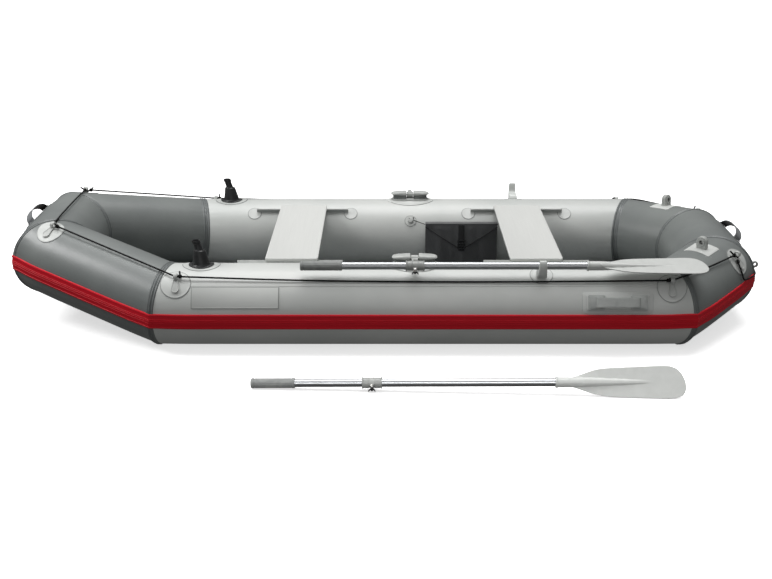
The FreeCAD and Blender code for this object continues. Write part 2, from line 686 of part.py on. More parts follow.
WIDE_SEAMS = (0, 1, 4, 5)
tapes = []
for number in range(len(TUBES)):
    tapes.extend(seam_tape(number, "band_width" if number in WIDE_SEAMS else "seam_width"))
keep("seam_tapes", group(*tapes))


# ---- grab line and pouch cords ----

# How far back from a point its arc starts, as a share of the shorter run beside it.
ARC_SHARE = 0.45


def cord_path(points, tight):
    """Straight runs joined by tangent arcs; a point in tight is an eye, with the eye's small bend."""
    ends = [Vector(*point) for point in points]
    edges, last = [], ends[0]
    for before, corner, after in zip(ends, ends[1:], ends[2:]):
        into = (corner - before).normalize()
        out = (after - corner).normalize()
        half_turn = into.getAngle(out) / 2
        back = ARC_SHARE * min((corner - before).Length, (after - corner).Length)
        if tuple(corner) in tight:
            back = size("rope_bend") * tan(half_turn)
        bend = back / tan(half_turn)
        inward = (out - into).normalize()
        centre = corner + inward * (bend / cos(half_turn))
        first, second = corner - into * back, corner + out * back
        edges.append(Part.LineSegment(last, first).toShape())
        edges.append(Part.Arc(first, centre - inward * bend, second).toShape())
        last = second
        print("  bend", round(bend))
    edges.append(Part.LineSegment(last, ends[-1]).toShape())
    return Part.Wire(edges)


def cord(label, points, radius_word, tight=()):
    """A cord's plain tube, swept along its path by its round section."""
    print(label)
    path = cord_path(points, tight)
    start = Vector(*points[0])
    section = Part.Wire(Part.Circle(start, Vector(*points[1]) - start, size(radius_word)).toShape())
    thing = doc.addObject("Part::Feature", label)
    thing.Shape = path.makePipeShell([section], True, False)
    volume = pi * size(radius_word) ** 2 * path.Length
    print(f"  length {path.Length:.0f}, volume {thing.Shape.Volume:.0f} for {volume:.0f}")
    keep(label, thing)
    return thing


def port_and_starboard(points):
    """A route, and the same route in mirror image."""
    return {"port": points, "starboard": [(x, -y, z) for x, y, z in points]}


FORE_EYE, AFT_EYE = (-764, -578.8, 290.8), (1049, -592.6, 280.2)
SIDE_ROUTE = [(-1250.2, -294.5, 398.6), FORE_EYE, (-300, -585.5, 277), (140, -587.3, 272.8),
              (590, -590, 274.2), AFT_EYE, (1127, -554, 293.5), (1211, -469, 292), (1333.1, -344.4, 298)]
BOW_ROUTE = [(-1274.5, -249.6, 407.5), (-1271, -165, 415), (-1271, 165, 415), (-1274.5, 249.6, 407.5)]
PORT_STERN = [(1355, -349, 269), (1369, -361.5, 232), (1374.5, -363, 214), (1386, -354, 202.5),
              (1405, -331, 200), (1448, -287, 200.5), (1466, -236, 200), (1464, -158, 199),
              (1463, -78, 198)]
STERN_ROUTE = PORT_STERN + [(1462.5, 0, 197.5)] + [(x, -y, z) for x, y, z in PORT_STERN[::-1]]
POUCH_ROUTE = [(124.3, 354.6, 248.5), (150, 336, 244), (174.8, 318, 240)]


def knot(end, towards):
    """A knot at a rope's end, beyond its last point."""
    place = Placement(Vector(*end), Rotation(UP, Vector(*end) - Vector(*towards)))
    return cylinder(place, "knot_radius", "knot_length")


for side, route in port_and_starboard(SIDE_ROUTE).items():
    eyes = port_and_starboard([FORE_EYE, AFT_EYE])[side]
    cord("rope_" + side, route, "rope_radius", eyes)
cord("rope_bow", BOW_ROUTE, "rope_radius")
cord("rope_stern", STERN_ROUTE, "rope_radius")
AFT_POUCH_ROUTE = [(2 * size("pouch_x") - x, y, z) for x, y, z in POUCH_ROUTE]
cord("pouch_cord_fore", POUCH_ROUTE, "pouch_cord_radius")
cord("pouch_cord_aft", AFT_POUCH_ROUTE, "pouch_cord_radius")
ROPES = (*port_and_starboard(SIDE_ROUTE).values(), BOW_ROUTE, STERN_ROUTE)
knots = [knot(*ends) for route in ROPES for ends in (route[:2], route[:-3:-1])]
keep("rope_knots", group(*knots))


# ---- rod holders ----

def rod_holder(tube):
    """A leaning cone with a round socket, on an oval flange."""
    foot = on_top(tube, size("rod_x"), -size("rod_flange_rise"))
    flange = oval(foot, "rod_flange_length", "rod_flange_width", "2 * rod_flange_rise")
    base = Placement(foot.Base, Rotation(Vector(0, -1, 0), size("rod_tilt")))
    body = cone(base, "rod_foot_radius", "rod_neck_radius", "rod_cone")
    neck = cylinder(moved(base, z=size("rod_cone")), "rod_neck_radius",
                    "rod_height - rod_cone + rod_flange_rise")
    top = size("rod_height") + size("rod_flange_rise")
    socket = cylinder(moved(base, z=top - size("rod_bore_depth")), "rod_bore", "rod_height")
    return seated(tube, cut(fuse(flange, body, neck), socket))


keep("rod_holders", group(*[rod_holder(tube) for tube in SIDES]))
for tube in SIDES:
    round_patches.append(oval_patch(tube, straight(size("rod_x"), tube), 0, "rod_patch_length",
                                    "rod_patch_width"))


# ---- motor bracket lugs and stern eyes ----

def upright_eye(spot, kind):
    """A plate across the tube with a round head and a hole along the tube."""
    tube, reach, lean = spot
    depth = size(kind + "_depth")
    foot = tube.spot(reach, lean, -size("eye_foot"))
    head = tube.spot(reach, lean, size(kind + "_rise"))
    body = fuse(block(foot, f"{kind}_depth", f"{kind}_width", f"{kind}_rise + eye_foot"),
                rod(head, -depth / 2, f"{kind}_width / 2", f"{kind}_depth"))
    return seated(tube, cut(body, rod(head, -depth, f"{kind}_bore", f"2 * {kind}_depth")))


motor_spots = [(STERN_PORT, size("motor_reach"), size("motor_lean")),
               (STERN_STARBOARD, STERN_STARBOARD.length - size("motor_reach"), size("motor_lean"))]
keep("motor_lugs", group(*[upright_eye(spot, "motor_lug") for spot in motor_spots]))
keep("motor_lug_patches", group(*[square_patch(*spot, "motor_patch_length", "motor_patch_width")
                                  for spot in motor_spots]))
eye_spots = [(STERN, STERN.length / 2 + way * size("stern_eye_y"), size("stern_eye_lean"))
             for way in (-1, 1)]
keep("stern_eyes", group(*[upright_eye(spot, "stern_eye") for spot in eye_spots]))


# ---- handles and side patches ----

def strap_handle(spot, kind):
    """A strap that stands off the tube as a flat arch."""
    tube, reach, lean = spot
    far, high, thick = size(kind + "_half"), size(kind + "_rise"), size(kind + "_depth")
    flat = far - size(kind + "_slope")
    outer = [(-far, 0), (-flat, high), (flat, high), (far, 0)]
    inner = [(far - 2 * thick, 0), (flat - thick / 2, high - thick)]
    inner += [(-x, z) for x, z in inner[::-1]]
    place = moved(tube.spot(reach, lean), y=size(kind + "_width") / 2, turn=LENGTHWISE)
    return seated(tube, plate(place, outer + inner, kind + "_width"))


grab_spots = [(tube, tube.length / 2, size("grab_lean")) for tube in (BOW, STERN)]
keep("grab_handles", group(*[strap_handle(spot, "grab") for spot in grab_spots]))
keep("grab_handle_patches", group(*[square_patch(*spot, "grab_patch_length", "grab_patch_width")
                                    for spot in grab_spots]))
carry_spots = [(tube, straight(size("carry_x"), tube), size("carry_lean")) for tube in SIDES]
keep("carry_handles", group(*[strap_handle(spot, "carry") for spot in carry_spots]))
side_patches = [square_patch(*spot, "carry_patch_length", "carry_patch_width") for spot in carry_spots]
for tube in SIDES:
    side_patches.append(square_patch(tube, straight(size("name_x"), tube), size("name_lean"),
                                     "name_length", "name_width", "name_depth"))
keep("side_patches", group(*side_patches))


# ---- pouch ----

pouch_front = size("pouch_back") - size("pouch_depth")
pouch_top = size("pouch_foot") + size("pouch_height")


def over_pouch(y, z):
    """A place on the pouch's middle plane, at that Y and Z."""
    return Placement(Vector(size("pouch_x"), y, z), Rotation())


pouch_place = over_pouch(size("pouch_back") - size("pouch_depth") / 2, size("pouch_foot"))
keep("pouch_body", cut(block(pouch_place, "pouch_length", "pouch_depth", "pouch_height"),
                       block(moved(pouch_place, z=size("cloth")), "pouch_length - 2 * cloth",
                             "pouch_depth - 2 * cloth", "pouch_height")))


def pouch_flap():
    """The flap: a strip over the pouch's mouth, and a pointed front that hangs from it."""
    edge, point = size("pouch_length") / 2, size("flap_point")
    drop, shoulder = size("flap_drop"), size("flap_shoulder")
    lid_z = pouch_top + size("flap_gap")
    reach = size("pouch_depth") + size("flap_gap") + size("flap_depth")
    lid = over_pouch(size("pouch_back") - reach / 2, lid_z)
    half_outline = [(-edge, 0), (-edge, -shoulder), (-point, -drop)]
    outline = half_outline + [(-x, z) for x, z in half_outline[::-1]]
    front = moved(over_pouch(pouch_front - size("flap_gap"), lid_z), turn=LENGTHWISE)
    return fuse(block(lid, "pouch_length", "pouch_depth + flap_gap + flap_depth", "flap_depth"),
                plate(front, outline, "flap_depth"))


keep("pouch_flap", pouch_flap())
buckle_y = pouch_front - size("flap_gap") - size("flap_depth")
buckle_z = pouch_top - size("flap_drop")
buckle_place = over_pouch(buckle_y - size("buckle_depth") / 2, buckle_z)
web_place = over_pouch(buckle_y - size("web_depth") / 2, buckle_z + size("buckle_height"))
keep("pouch_buckle", fuse(block(buckle_place, "buckle_width", "buckle_depth", "buckle_height"),
                          block(web_place, "web_width", "web_depth", "web_length")))


def pouch_lug(tube, reach, lean):
    """A round stud with a hole through it for the pouch's cord."""
    foot = tube.spot(reach, lean, -size("patch_depth"))
    middle = tube.spot(reach, lean, size("pouch_lug_rise") / 2)
    hole = rod(middle, -size("pouch_lug_radius"), "pouch_lug_bore", "2 * pouch_lug_radius")
    stud = cylinder(foot, "pouch_lug_radius", "pouch_lug_rise + patch_depth")
    return seated(tube, cut(stud, hole))


lug_spots = [(STARBOARD, straight(size("pouch_x") + way * size("pouch_lug_out"), STARBOARD),
              size("pouch_lug_lean")) for way in (-1, 1)]
keep("pouch_lugs", group(*[pouch_lug(*spot) for spot in lug_spots]))
round_patches.extend([round_patch(*spot, "pouch_patch_radius") for spot in lug_spots])
keep("round_patches", group(*round_patches))


# ---- valves ----

def valve_body(place):
    flange = cylinder(place, "valve_flange", "valve_flange_depth")
    neck = cylinder(place, "valve_neck", "valve_neck_rise")
    return cut(fuse(flange, neck), cylinder(place, "valve_bore", "valve_neck_rise"))


def valve_cap(place):
    """A cap that screws over the valve's neck."""
    base = moved(place, z=size("valve_flange_depth") + size("cap_gap"))
    inside = moved(base, z=-size("cap_wall"))
    return cut(cylinder(base, "cap_radius", "cap_rise - valve_flange_depth"),
               cylinder(inside, "cap_bore", "cap_rise - valve_flange_depth"))


floor_top = size("sheet_depth") + size("floor_depth")
floor_spot = Vector(size("floor_valve_x"), size("floor_valve_y"), floor_top)
VALVES = {"fore_valve": PORT.spot(straight(size("fore_valve_x"), PORT), size("valve_lean")),
          "aft_valve": PORT.spot(straight(size("aft_valve_x"), PORT), size("valve_lean")),
          "floor_valve": Placement(floor_spot, Rotation())}
keep("valve_bodies", group(*[valve_body(place) for place in VALVES.values()]))
for name, place in VALVES.items():
    keep(name + "_cap", valve_cap(place))


# ---- files ----

doc.recompute()
failed = [thing.Label for thing in doc.Objects if {"Invalid", "Error"} & set(thing.State)]
broken = [thing.Label for thing in PIECES if thing.Shape.isNull() or not thing.Shape.isValid()]
if failed or broken:
    raise RuntimeError(f"failed objects {failed}, broken sub-parts {broken}")
os.makedirs("parts", exist_ok=True)
for thing in PIECES:
    thing.Shape.exportStep(f"parts/{thing.Label}.step")
print(len(PIECES), "sub-parts")
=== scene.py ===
# %% [markdown]
# # Dressing an inflatable dinghy
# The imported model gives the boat's frame: tubes, benches, fittings, ropes and two oars, each where it
# belongs, in metres. X runs aft, Y to starboard and Z up. This lesson makes each of them look like what
# it is: coated fabric, moulded fittings, bright tube, braided cord.

# %% Load the frame and keep its box
from math import atan2, cos, degrees, exp, pi, radians, sin, sqrt

import bmesh
import bpy
from mathutils import Matrix, Vector, noise


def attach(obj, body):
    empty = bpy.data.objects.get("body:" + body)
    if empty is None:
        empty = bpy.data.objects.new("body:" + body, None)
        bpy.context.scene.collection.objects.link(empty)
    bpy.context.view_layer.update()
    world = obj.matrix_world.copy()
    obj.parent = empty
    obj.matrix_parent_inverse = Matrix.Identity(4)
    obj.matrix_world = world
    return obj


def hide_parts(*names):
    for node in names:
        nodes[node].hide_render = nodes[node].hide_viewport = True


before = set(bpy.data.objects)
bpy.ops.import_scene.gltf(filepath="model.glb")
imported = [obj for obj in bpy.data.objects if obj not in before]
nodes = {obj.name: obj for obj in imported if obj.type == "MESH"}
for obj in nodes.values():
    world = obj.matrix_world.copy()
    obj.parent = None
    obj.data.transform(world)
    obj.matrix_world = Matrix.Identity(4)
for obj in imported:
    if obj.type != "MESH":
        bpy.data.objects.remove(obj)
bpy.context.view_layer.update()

# %% [markdown]
# The camera comes first, because every later choice is judged through it. The boat was seen from its
# port side, a little above the tubes, from about five metres with a lens of medium length. A level
# camera tilted down by some eighteen degrees shows the far tube's inside over the near tube's top.

# %% Camera
IMAGE_WIDTH = 772
FOCAL_IN_WIDTHS = 1261.7 / IMAGE_WIDTH

lens_data = bpy.data.cameras.new("port_side_camera")
lens_data.sensor_width = 36
lens_data.lens = FOCAL_IN_WIDTHS * lens_data.sensor_width
camera = bpy.data.objects.new("port_side_camera", lens_data)
camera.location = (0.0049, -4.9639, 1.7013)
camera.rotation_euler = (radians(71.58), 0, 0)
bpy.context.scene.collection.objects.link(camera)
bpy.context.scene.camera = camera
print("lens", round(lens_data.lens, 2), "mm")

# %% [markdown]
# Every finish starts from a real material. Small helpers carry them all: one turns a colour chip
# written in hex to the linear numbers that the shader wants, one adds a node with its settings and
# links, and the rest let a pattern drive the colour, the roughness or the relief. Patterns read
# object coordinates, which are metres here, so a pattern's scale is one over its real size in metres.

# %% Helpers for materials
def deselect_all():
    """Nothing selected, nothing active: operators act on whatever is selected."""
    if bpy.context.object and bpy.context.object.mode != "OBJECT":
        bpy.ops.object.mode_set(mode="OBJECT")
    bpy.ops.object.select_all(action="DESELECT")


def linear(chip):
    """An sRGB hex colour as linear red, green, blue and alpha."""
    parts = [int(chip[i:i + 2], 16) / 255 for i in (1, 3, 5)]
    return [p / 12.92 if p <= 0.04045 else ((p + 0.055) / 1.055) ** 2.4 for p in parts] + [1.0]


def add(tree, kind, links=None, **settings):
    """A shader node: settings are its own fields, or values of inputs named with spaces as _."""
    node = tree.nodes.new(kind)
    for name, value in settings.items():
        if hasattr(node, name):
            setattr(node, name, value)
        else:
            node.inputs[name.replace("_", " ")].default_value = value
    for socket, source in (links or {}).items():
        tree.links.new(source, node.inputs[socket])
    return node


def new_material(name, chip, roughness, metallic=0.0, **sockets):
    """A material with its Principled shader's constant values set on the sockets themselves."""
    made = bpy.data.materials.new(name)
    made.use_nodes = True
    shader = made.node_tree.nodes["Principled BSDF"]
    shader.inputs["Base Color"].default_value = linear(chip)
    shader.inputs["Roughness"].default_value = roughness
    shader.inputs["Metallic"].default_value = metallic
    for socket, value in sockets.items():
        shader.inputs[socket.replace("_", " ")].default_value = value
    made.diffuse_color = linear(chip)
    return made, made.node_tree, shader


def where(tree, kind="Object", **mapping):
    """Coordinates in metres, with a Mapping node only where a pattern is stretched or turned."""
    source = add(tree, "ShaderNodeTexCoord").outputs[kind]
    if not mapping:
        return source
    return add(tree, "ShaderNodeMapping", {"Vector": source}, **mapping).outputs["Vector"]


def cloudy(tree, place, scale, **settings):
    """The value of a noise: the scale is one over the size of its clouds."""
    return add(tree, "ShaderNodeTexNoise", {"Vector": place}, Scale=scale, **settings).outputs["Fac"]


def colour_ramp(tree, source, first, last, low, high):
    """The colour that a ramp gives for a value, from a first to a last one."""
    ramp = add(tree, "ShaderNodeValToRGB", {"Fac": source})
    for end, place, colour in zip(ramp.color_ramp.elements, (low, high), (first, last)):
        end.position, end.color = place, colour
    return ramp.outputs["Color"]


def vary_colour(tree, shader, source, dark, light, low=0.35, high=0.65):
    """Colour between two chips, following a pattern."""
    colour = colour_ramp(tree, source, linear(dark), linear(light), low, high)
    tree.links.new(colour, shader.inputs["Base Color"])


def vary_roughness(tree, shader, source, smooth, rough):
    """Roughness between two values, following a pattern."""
    spread = add(tree, "ShaderNodeMapRange", {"Value": source}, To_Min=smooth, To_Max=rough)
    tree.links.new(spread.outputs["Result"], shader.inputs["Roughness"])


def raise_bump(tree, shader, source, height, strength, under=None):
    """A relief of that height in metres, on top of another one if given."""
    links = {"Height": source}
    if under:
        links["Normal"] = under
    bump = add(tree, "ShaderNodeBump", links, Strength=strength, Distance=height)
    tree.links.new(bump.outputs["Normal"], shader.inputs["Normal"])
    return bump.outputs["Normal"]


# %% [markdown]
# The light is that of a white studio. One wide overhead light, a little behind the boat, makes the
# pale line along every tube and leaves the near side in half shade. A soft box high on the left puts
# the sheen on the dark bow, a weak wide one behind the viewer opens the shadows under the strake, and
# an even surround fills the rest. The spare oar lies outside the best light, so a low strip is linked
# to its pieces alone. The floor is a plain table of white acrylic that is lit from below, so the
# shadows on it stay faint, and a round wall of the same stands far behind it. Neither is part of the
# boat.

# %% Floor and light
acrylic, tree, shader = new_material("backlit_white_acrylic", "#F7F7F7", 0.95, Specular_IOR_Level=0.05,
                                     Base_Color=(0.93, 0.93, 0.93, 1), Emission_Color=(1, 1, 1, 1),
                                     Emission_Strength=0.62)
for name, operator, settings in (("studio_floor", bpy.ops.mesh.primitive_plane_add, {"size": 60}),
                                 ("studio_wall", bpy.ops.mesh.primitive_uv_sphere_add,
                                  {"segments": 48, "ring_count": 24, "radius": 29})):
    deselect_all()
    operator(**settings)
    stage = bpy.context.object
    stage.name = name
    stage.visible_diffuse = stage.visible_glossy = False
    stage.visible_shadow = name == "studio_floor"
    stage.data.materials.append(acrylic)


def lamp(name, kind, place, **settings):
    """A light at a place, with its data's own settings."""
    data = bpy.data.lights.new(name, kind)
    for setting, value in settings.items():
        setattr(data, setting, value)
    made = bpy.data.objects.new(name, data)
    made.location = place
    bpy.context.scene.collection.objects.link(made)
    return made


def soft_box(name, place, aim, width, height, power):
    """A rectangle of light that faces a point."""
    box = lamp(name, "AREA", place, shape="RECTANGLE", size=width, size_y=height, energy=power)
    box.rotation_euler = (Vector(aim) - Vector(place)).to_track_quat("-Z", "Y").to_euler()
    box.visible_camera = False
    return box


overhead = lamp("overhead_sky_panel", "SUN", (0, 0, 0), energy=2.3, angle=radians(42))
overhead.rotation_euler = (radians(-11), 0, 0)
soft_box("left_softbox", (-4.2, -0.6, 3.4), (-0.9, -0.4, 0.2), 1.6, 1.6, 100)
soft_box("front_fill", (0, -6.5, 1.5), (0, 0, 0.15), 5.0, 1.6, 33)
low_strip = soft_box("low_strip_on_spare_oar", (0.2, -3.2, 0.9), (0.2, -0.98, 0.05), 2.6, 0.3, 26)
spare_oar_set = bpy.data.collections.new("spare_oar_set")
low_strip.light_linking.receiver_collection = spare_oar_set

world = bpy.data.worlds.new("white_studio")
world.use_nodes = True
tree = world.node_tree
around = add(tree, "ShaderNodeTexCoord").outputs["Generated"]
rise = add(tree, "ShaderNodeSeparateXYZ", {"Vector": around}).outputs["Z"]
sky = colour_ramp(tree, rise, (0.30, 0.30, 0.30, 1), (1, 1, 1, 1), 0.0, 0.7)
surround = tree.nodes["Background"]
tree.links.new(sky, surround.inputs["Color"])
surround.inputs["Strength"].default_value = 0.36
bpy.context.scene.world = world
bpy.context.scene.view_settings.view_transform = "Standard"

# %% [markdown]
# The hull is polyester cloth coated with PVC and calendered between hot rollers. That leaves a satin
# skin: a broad soft highlight, a trace of the threads printed through, and a colour that is never
# quite even. The sides are light grey, the bow and stern are dark grey, and the glued patches are
# cut from the same light cloth.

# %% PVC-coated cloth
THREAD = 0.0008
CLOUD = 0.35


def coated_cloth(name, dark, light, roughness):
    """Calendered PVC on woven polyester: satin, faintly clouded, threads printed through."""
    made, tree, shader = new_material(name, light, roughness, Specular_IOR_Level=0.45, IOR=1.52,
                                      Coat_Weight=0.12, Coat_Roughness=0.28)
    place = where(tree)
    cloud = cloudy(tree, place, 1 / CLOUD, Detail=4, Roughness=0.6)
    vary_colour(tree, shader, cloud, dark, light)
    scuff = cloudy(tree, place, 40, Detail=6, Roughness=0.65)
    vary_roughness(tree, shader, scuff, roughness - 0.07, roughness + 0.10)
    slack = cloudy(tree, place, 1 / 0.16, Detail=2, Roughness=0.4)
    soft = raise_bump(tree, shader, slack, 0.004, 0.25)
    threads = add(tree, "ShaderNodeTexVoronoi", {"Vector": place}, Scale=1 / (3 * THREAD),
                  distance="CHEBYCHEV")
    raise_bump(tree, shader, threads.outputs["Distance"], 0.0002, 0.25, soft)
    return made


light_cloth = coated_cloth("pvc_cloth_light_grey", "#BDC0BD", "#C8CAC7", 0.40)
dark_cloth = coated_cloth("pvc_cloth_dark_grey", "#707473", "#7B7F7D", 0.36)
patch_cloth = coated_cloth("pvc_cloth_patch", "#C4C6C3", "#D0D2CF", 0.42)
floor_cloth = coated_cloth("pvc_cloth_floor_grey", "#64686A", "#707476", 0.50)
band_cloth = coated_cloth("pvc_seam_band", "#646868", "#707473", 0.40)
# A darker grey for the outer edge of patches: painted shade where a patch's edge meets the tube.
edge_shade_cloth = coated_cloth("pvc_painted_edge_shade", "#898C8A", "#959896", 0.46)
print("coated cloths", light_cloth.name, dark_cloth.name, patch_cloth.name)

# %% [markdown]
# The strake is extruded soft PVC in signal red. An extruded profile is smooth along its length and
# takes hard scuffs on its ribs, so its grain runs with the boat.

# %% Extruded strake
strake_red, tree, shader = new_material("pvc_extrusion_red", "#D8182A", 0.50, Specular_IOR_Level=0.25)
drawn = cloudy(tree, where(tree, Scale=(6, 120, 400)), 1, Detail=5)
vary_colour(tree, shader, drawn, "#CC1626", "#DA192C")
vary_roughness(tree, shader, drawn, 0.46, 0.58)
raise_bump(tree, shader, drawn, 0.0002, 0.12)

# %% [markdown]
# The grab line is a braided polyester cord, black with a dull sheen. A braid's strands cross at
# about forty-five degrees, so two slanted waves on the cord's own UV map, one each way, give the
# raised diamonds. The pitch of a 6.5 mm braid is about as long as its diameter.

# %% Braided cord
BRAID_PITCH = 0.007
ROPE_BLACK = "#141516"


def crossed(tree, places, *settings):
    """Two waves, multiplied: what two sets of yarns make where they cross."""
    waves = [add(tree, "ShaderNodeTexWave", {"Vector": place}, **how) for place, how in zip(places, settings)]
    links = {number: wave.outputs["Fac"] for number, wave in enumerate(waves)}
    return add(tree, "ShaderNodeMath", links, operation="MULTIPLY").outputs["Value"]


def braided(name, chip, length):
    """Cord whose diamonds repeat once a pitch along a cord of that length."""
    made, tree, shader = new_material(name, chip, 0.70, Sheen_Weight=0.05, Sheen_Roughness=0.4,
                                      Specular_IOR_Level=0.2)
    slanted = [where(tree, "UV", Scale=(length / BRAID_PITCH, 4, 1), Rotation=(0, 0, radians(way * 45)))
               for way in (1, -1)]
    diamonds = crossed(tree, slanted, {"Scale": 0.5}, {"Scale": 0.5})
    vary_colour(tree, shader, diamonds, "#060606", chip, 0.1, 0.8)
    raise_bump(tree, shader, diamonds, 0.0006, 0.8)
    return made


# %% [markdown]
# Fittings stand at stations: an X along the boat and, for those on a tube, how far they lean outboard
# from its top, in degrees. Several pieces share a station, so each is named once.

# %% Stations
LOCK_X = 0.111
ROD_X = -0.681
KEEPER_X, KEEPER_LEAN = 0.575, 27.6
NAME_X, NAME_LEAN = -0.545, 63
CARRY_X, CARRY_LEAN = 0.848, 70
GRAB_LEAN = 43
FORE_BENCH_X, AFT_BENCH_X = -0.353, 0.575
POUCH_X = 0.3315
STUD_LEAN = -54
STUD_XS = (POUCH_X - 0.2195, POUCH_X + 0.2195)
RAIL_XS = [middle + way * 0.210 for middle in (-0.360, 0.575) for way in (-1, 1)]
RAIL_LEAN = -40
FORE_VALVE_X, AFT_VALVE_X, VALVE_LEAN = -0.640, 0.880, -72

# %% [markdown]
# Two cords run along the sides, one crosses the bow and one goes round the stern on the strake's
# ledge. Each is a NURBS curve whose few control points are the route's own: the spline rounds the
# corners by itself. Side cords leave a bow-corner lug and are tied at a stern lug; the bow and stern
# cords join the corners. Six diameters before and after an eye stands one more point, because the
# rope runs straight up to it. A cord's length is measured from the route that it follows.

# %% The grab line
ROPE_RADIUS = 0.00325
POUCH_CORD_RADIUS = 0.0015
FORE_EYE = (-0.764, -0.5788, 0.2908)
AFT_EYE = (1.049, -0.5926, 0.2802)
BEFORE_FORE_EYE, AFTER_FORE_EYE = (-0.7970, -0.5595, 0.2981), (-0.7250, -0.5794, 0.2896)
BEFORE_AFT_EYE, AFTER_AFT_EYE = (1.0100, -0.5924, 0.2797), (1.0840, -0.5747, 0.2867)
PORT_ROUTE = [(-1.2502, -0.2945, 0.3986), BEFORE_FORE_EYE, FORE_EYE, AFTER_FORE_EYE,
              (-0.300, -0.5855, 0.277), (0.140, -0.5873, 0.2728), (0.590, -0.590, 0.2742),
              BEFORE_AFT_EYE, AFT_EYE, AFTER_AFT_EYE, (1.127, -0.554, 0.2935), (1.211, -0.469, 0.292),
              (1.3331, -0.3444, 0.298)]
BOW_ROUTE = [(-1.2745, -0.2496, 0.4075), (-1.271, -0.165, 0.415), (-1.271, 0.165, 0.415),
             (-1.2745, 0.2496, 0.4075)]
PORT_STERN = [(1.355, -0.349, 0.269), (1.369, -0.3615, 0.232), (1.3745, -0.363, 0.214),
              (1.384, -0.352, 0.2025), (1.401, -0.329, 0.200), (1.4415, -0.2835, 0.2005),
              (1.4575, -0.2335, 0.200), (1.4595, -0.158, 0.199), (1.4600, -0.078, 0.198)]
STERN_ROUTE = PORT_STERN + [(1.4600, 0, 0.1975)] + [(x, -y, z) for x, y, z in PORT_STERN[::-1]]
FORE_POUCH_ROUTE = [(0.1243, 0.3546, 0.2485), (0.150, 0.336, 0.244), (0.1748, 0.318, 0.240)]
AFT_POUCH_ROUTE = [(2 * POUCH_X - x, y, z) for x, y, z in FORE_POUCH_ROUTE]


def spline_tube(name, points, radius, steps, section):
    """One open NURBS spline with the run's points, round in section."""
    data = bpy.data.curves.new(name, "CURVE")
    data.dimensions = "3D"
    spline = data.splines.new("NURBS")
    spline.points.add(len(points) - 1)
    for point, spot in zip(spline.points, points):
        point.co = (*spot, 1)
    spline.order_u, spline.use_endpoint_u, spline.resolution_u = 3, True, steps
    data.bevel_depth, data.bevel_resolution, data.use_fill_caps = radius, section, True
    run = bpy.data.objects.new(name, data)
    bpy.context.scene.collection.objects.link(run)
    return run


def cord(name, node, points, radius, length, fibre):
    """A free cord that is tied at both ends."""
    piece = spline_tube(name, points, radius, 16, 4)
    piece.data.materials.append(braided(fibre + node, ROPE_BLACK, length))
    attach(piece, "hull")
    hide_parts(node)


STARBOARD_ROUTE = [(x, -y, z) for x, y, z in PORT_ROUTE]
for node, route, length, lay in (("rope_port", PORT_ROUTE, 2.767, "taut"),
                                 ("rope_starboard", STARBOARD_ROUTE, 2.767, "taut"),
                                 ("rope_bow", BOW_ROUTE, 0.500, "taut"),
                                 ("rope_stern", STERN_ROUTE, 0.903, "loose")):
    cord("grab_" + node, node, route, ROPE_RADIUS, length, "braided_polyester_")
for node, route in (("pouch_cord_fore", FORE_POUCH_ROUTE), ("pouch_cord_aft", AFT_POUCH_ROUTE)):
    cord("tie_" + node, node, route, POUCH_CORD_RADIUS, 0.063, "braided_")

# %% [markdown]
# The fittings are moulded. Soft PVC for lugs and oarlocks is satin with a faint flow pattern from the
# mould; the black holders are a harder, rubbery PVC with a fine spark-eroded grain; the buckle is
# acetal, which is glossier. A moulded surface is even, so what the eye reads is its edge radius and
# a little unevenness in the gloss.

# %% Moulded finishes
GRAIN = 0.0012


def moulded(name, dark, light, roughness, grain_height=0.00012, **sockets):
    """An injection moulding: even colour, slight flow marks, a fine grain from the tool."""
    made, tree, shader = new_material(name, light, roughness, **sockets)
    place = where(tree)
    flow = cloudy(tree, place, 1 / 0.05, Detail=3, Distortion=1.2)
    vary_colour(tree, shader, flow, dark, light)
    vary_roughness(tree, shader, flow, roughness - 0.05, roughness + 0.06)
    grain = cloudy(tree, place, 1 / GRAIN, Detail=2)
    raise_bump(tree, shader, grain, grain_height, 0.4)
    return made


soft_pvc = moulded("moulded_pvc_pale_grey", "#AFB2AF", "#BCBEBB", 0.42, IOR=1.52)
keeper_pvc = moulded("moulded_pvc_keeper_grey", "#C9CCC9", "#D3D6D3", 0.34, IOR=1.52,
                     Coat_Weight=0.3, Coat_Roughness=0.2)
lock_pvc = moulded("moulded_pvc_oarlock_grey", "#A9ACA9", "#B6B8B5", 0.46, IOR=1.52)
# The oarlock waist is the heads' grey, painted darker as the shade under the heads.
waist_shade_pvc = moulded("moulded_pvc_waist_painted_shade", "#6E7170", "#7A7D7B", 0.50, Specular_IOR_Level=0.4,
                    IOR=1.52)
black_pvc = moulded("moulded_pvc_black_grained", "#141516", "#1E2021", 0.40, 0.0002)
grip_foam = moulded("moulded_evac_grip_grey", "#828483", "#909290", 0.62, 0.0003, Specular_IOR_Level=0.35)
collar_nylon = moulded("moulded_nylon_collar_grey", "#929492", "#A1A3A0", 0.38)
blade_pp = moulded("moulded_polypropylene_blade", "#BFC1BE", "#C4C6C3", 0.36, IOR=1.49)
handle_pvc = moulded("moulded_pvc_handle_grey", "#A2A5A3", "#AFB2AF", 0.44)
acetal_black = moulded("moulded_acetal_black", "#0F1011", "#17181A", 0.22, 0.00005)
valve_nylon = moulded("moulded_nylon_valve_grey", "#7F8280", "#8E908E", 0.40)
print("mouldings", soft_pvc.name, black_pvc.name, blade_pp.name)

# %% [markdown]
# The shafts are drawn aluminium with a satin anodised skin: faint streaks run along them, so the
# noise is stretched along X, the way the spare and the stowed shaft both nearly lie. A real draw
# mark is some 0.3 mm wide, and is drawn at 4 mm here so that it shows. The bolts are turned
# stainless steel. The bench boards are coated plywood with a pale, barely visible grain across the
# boat.

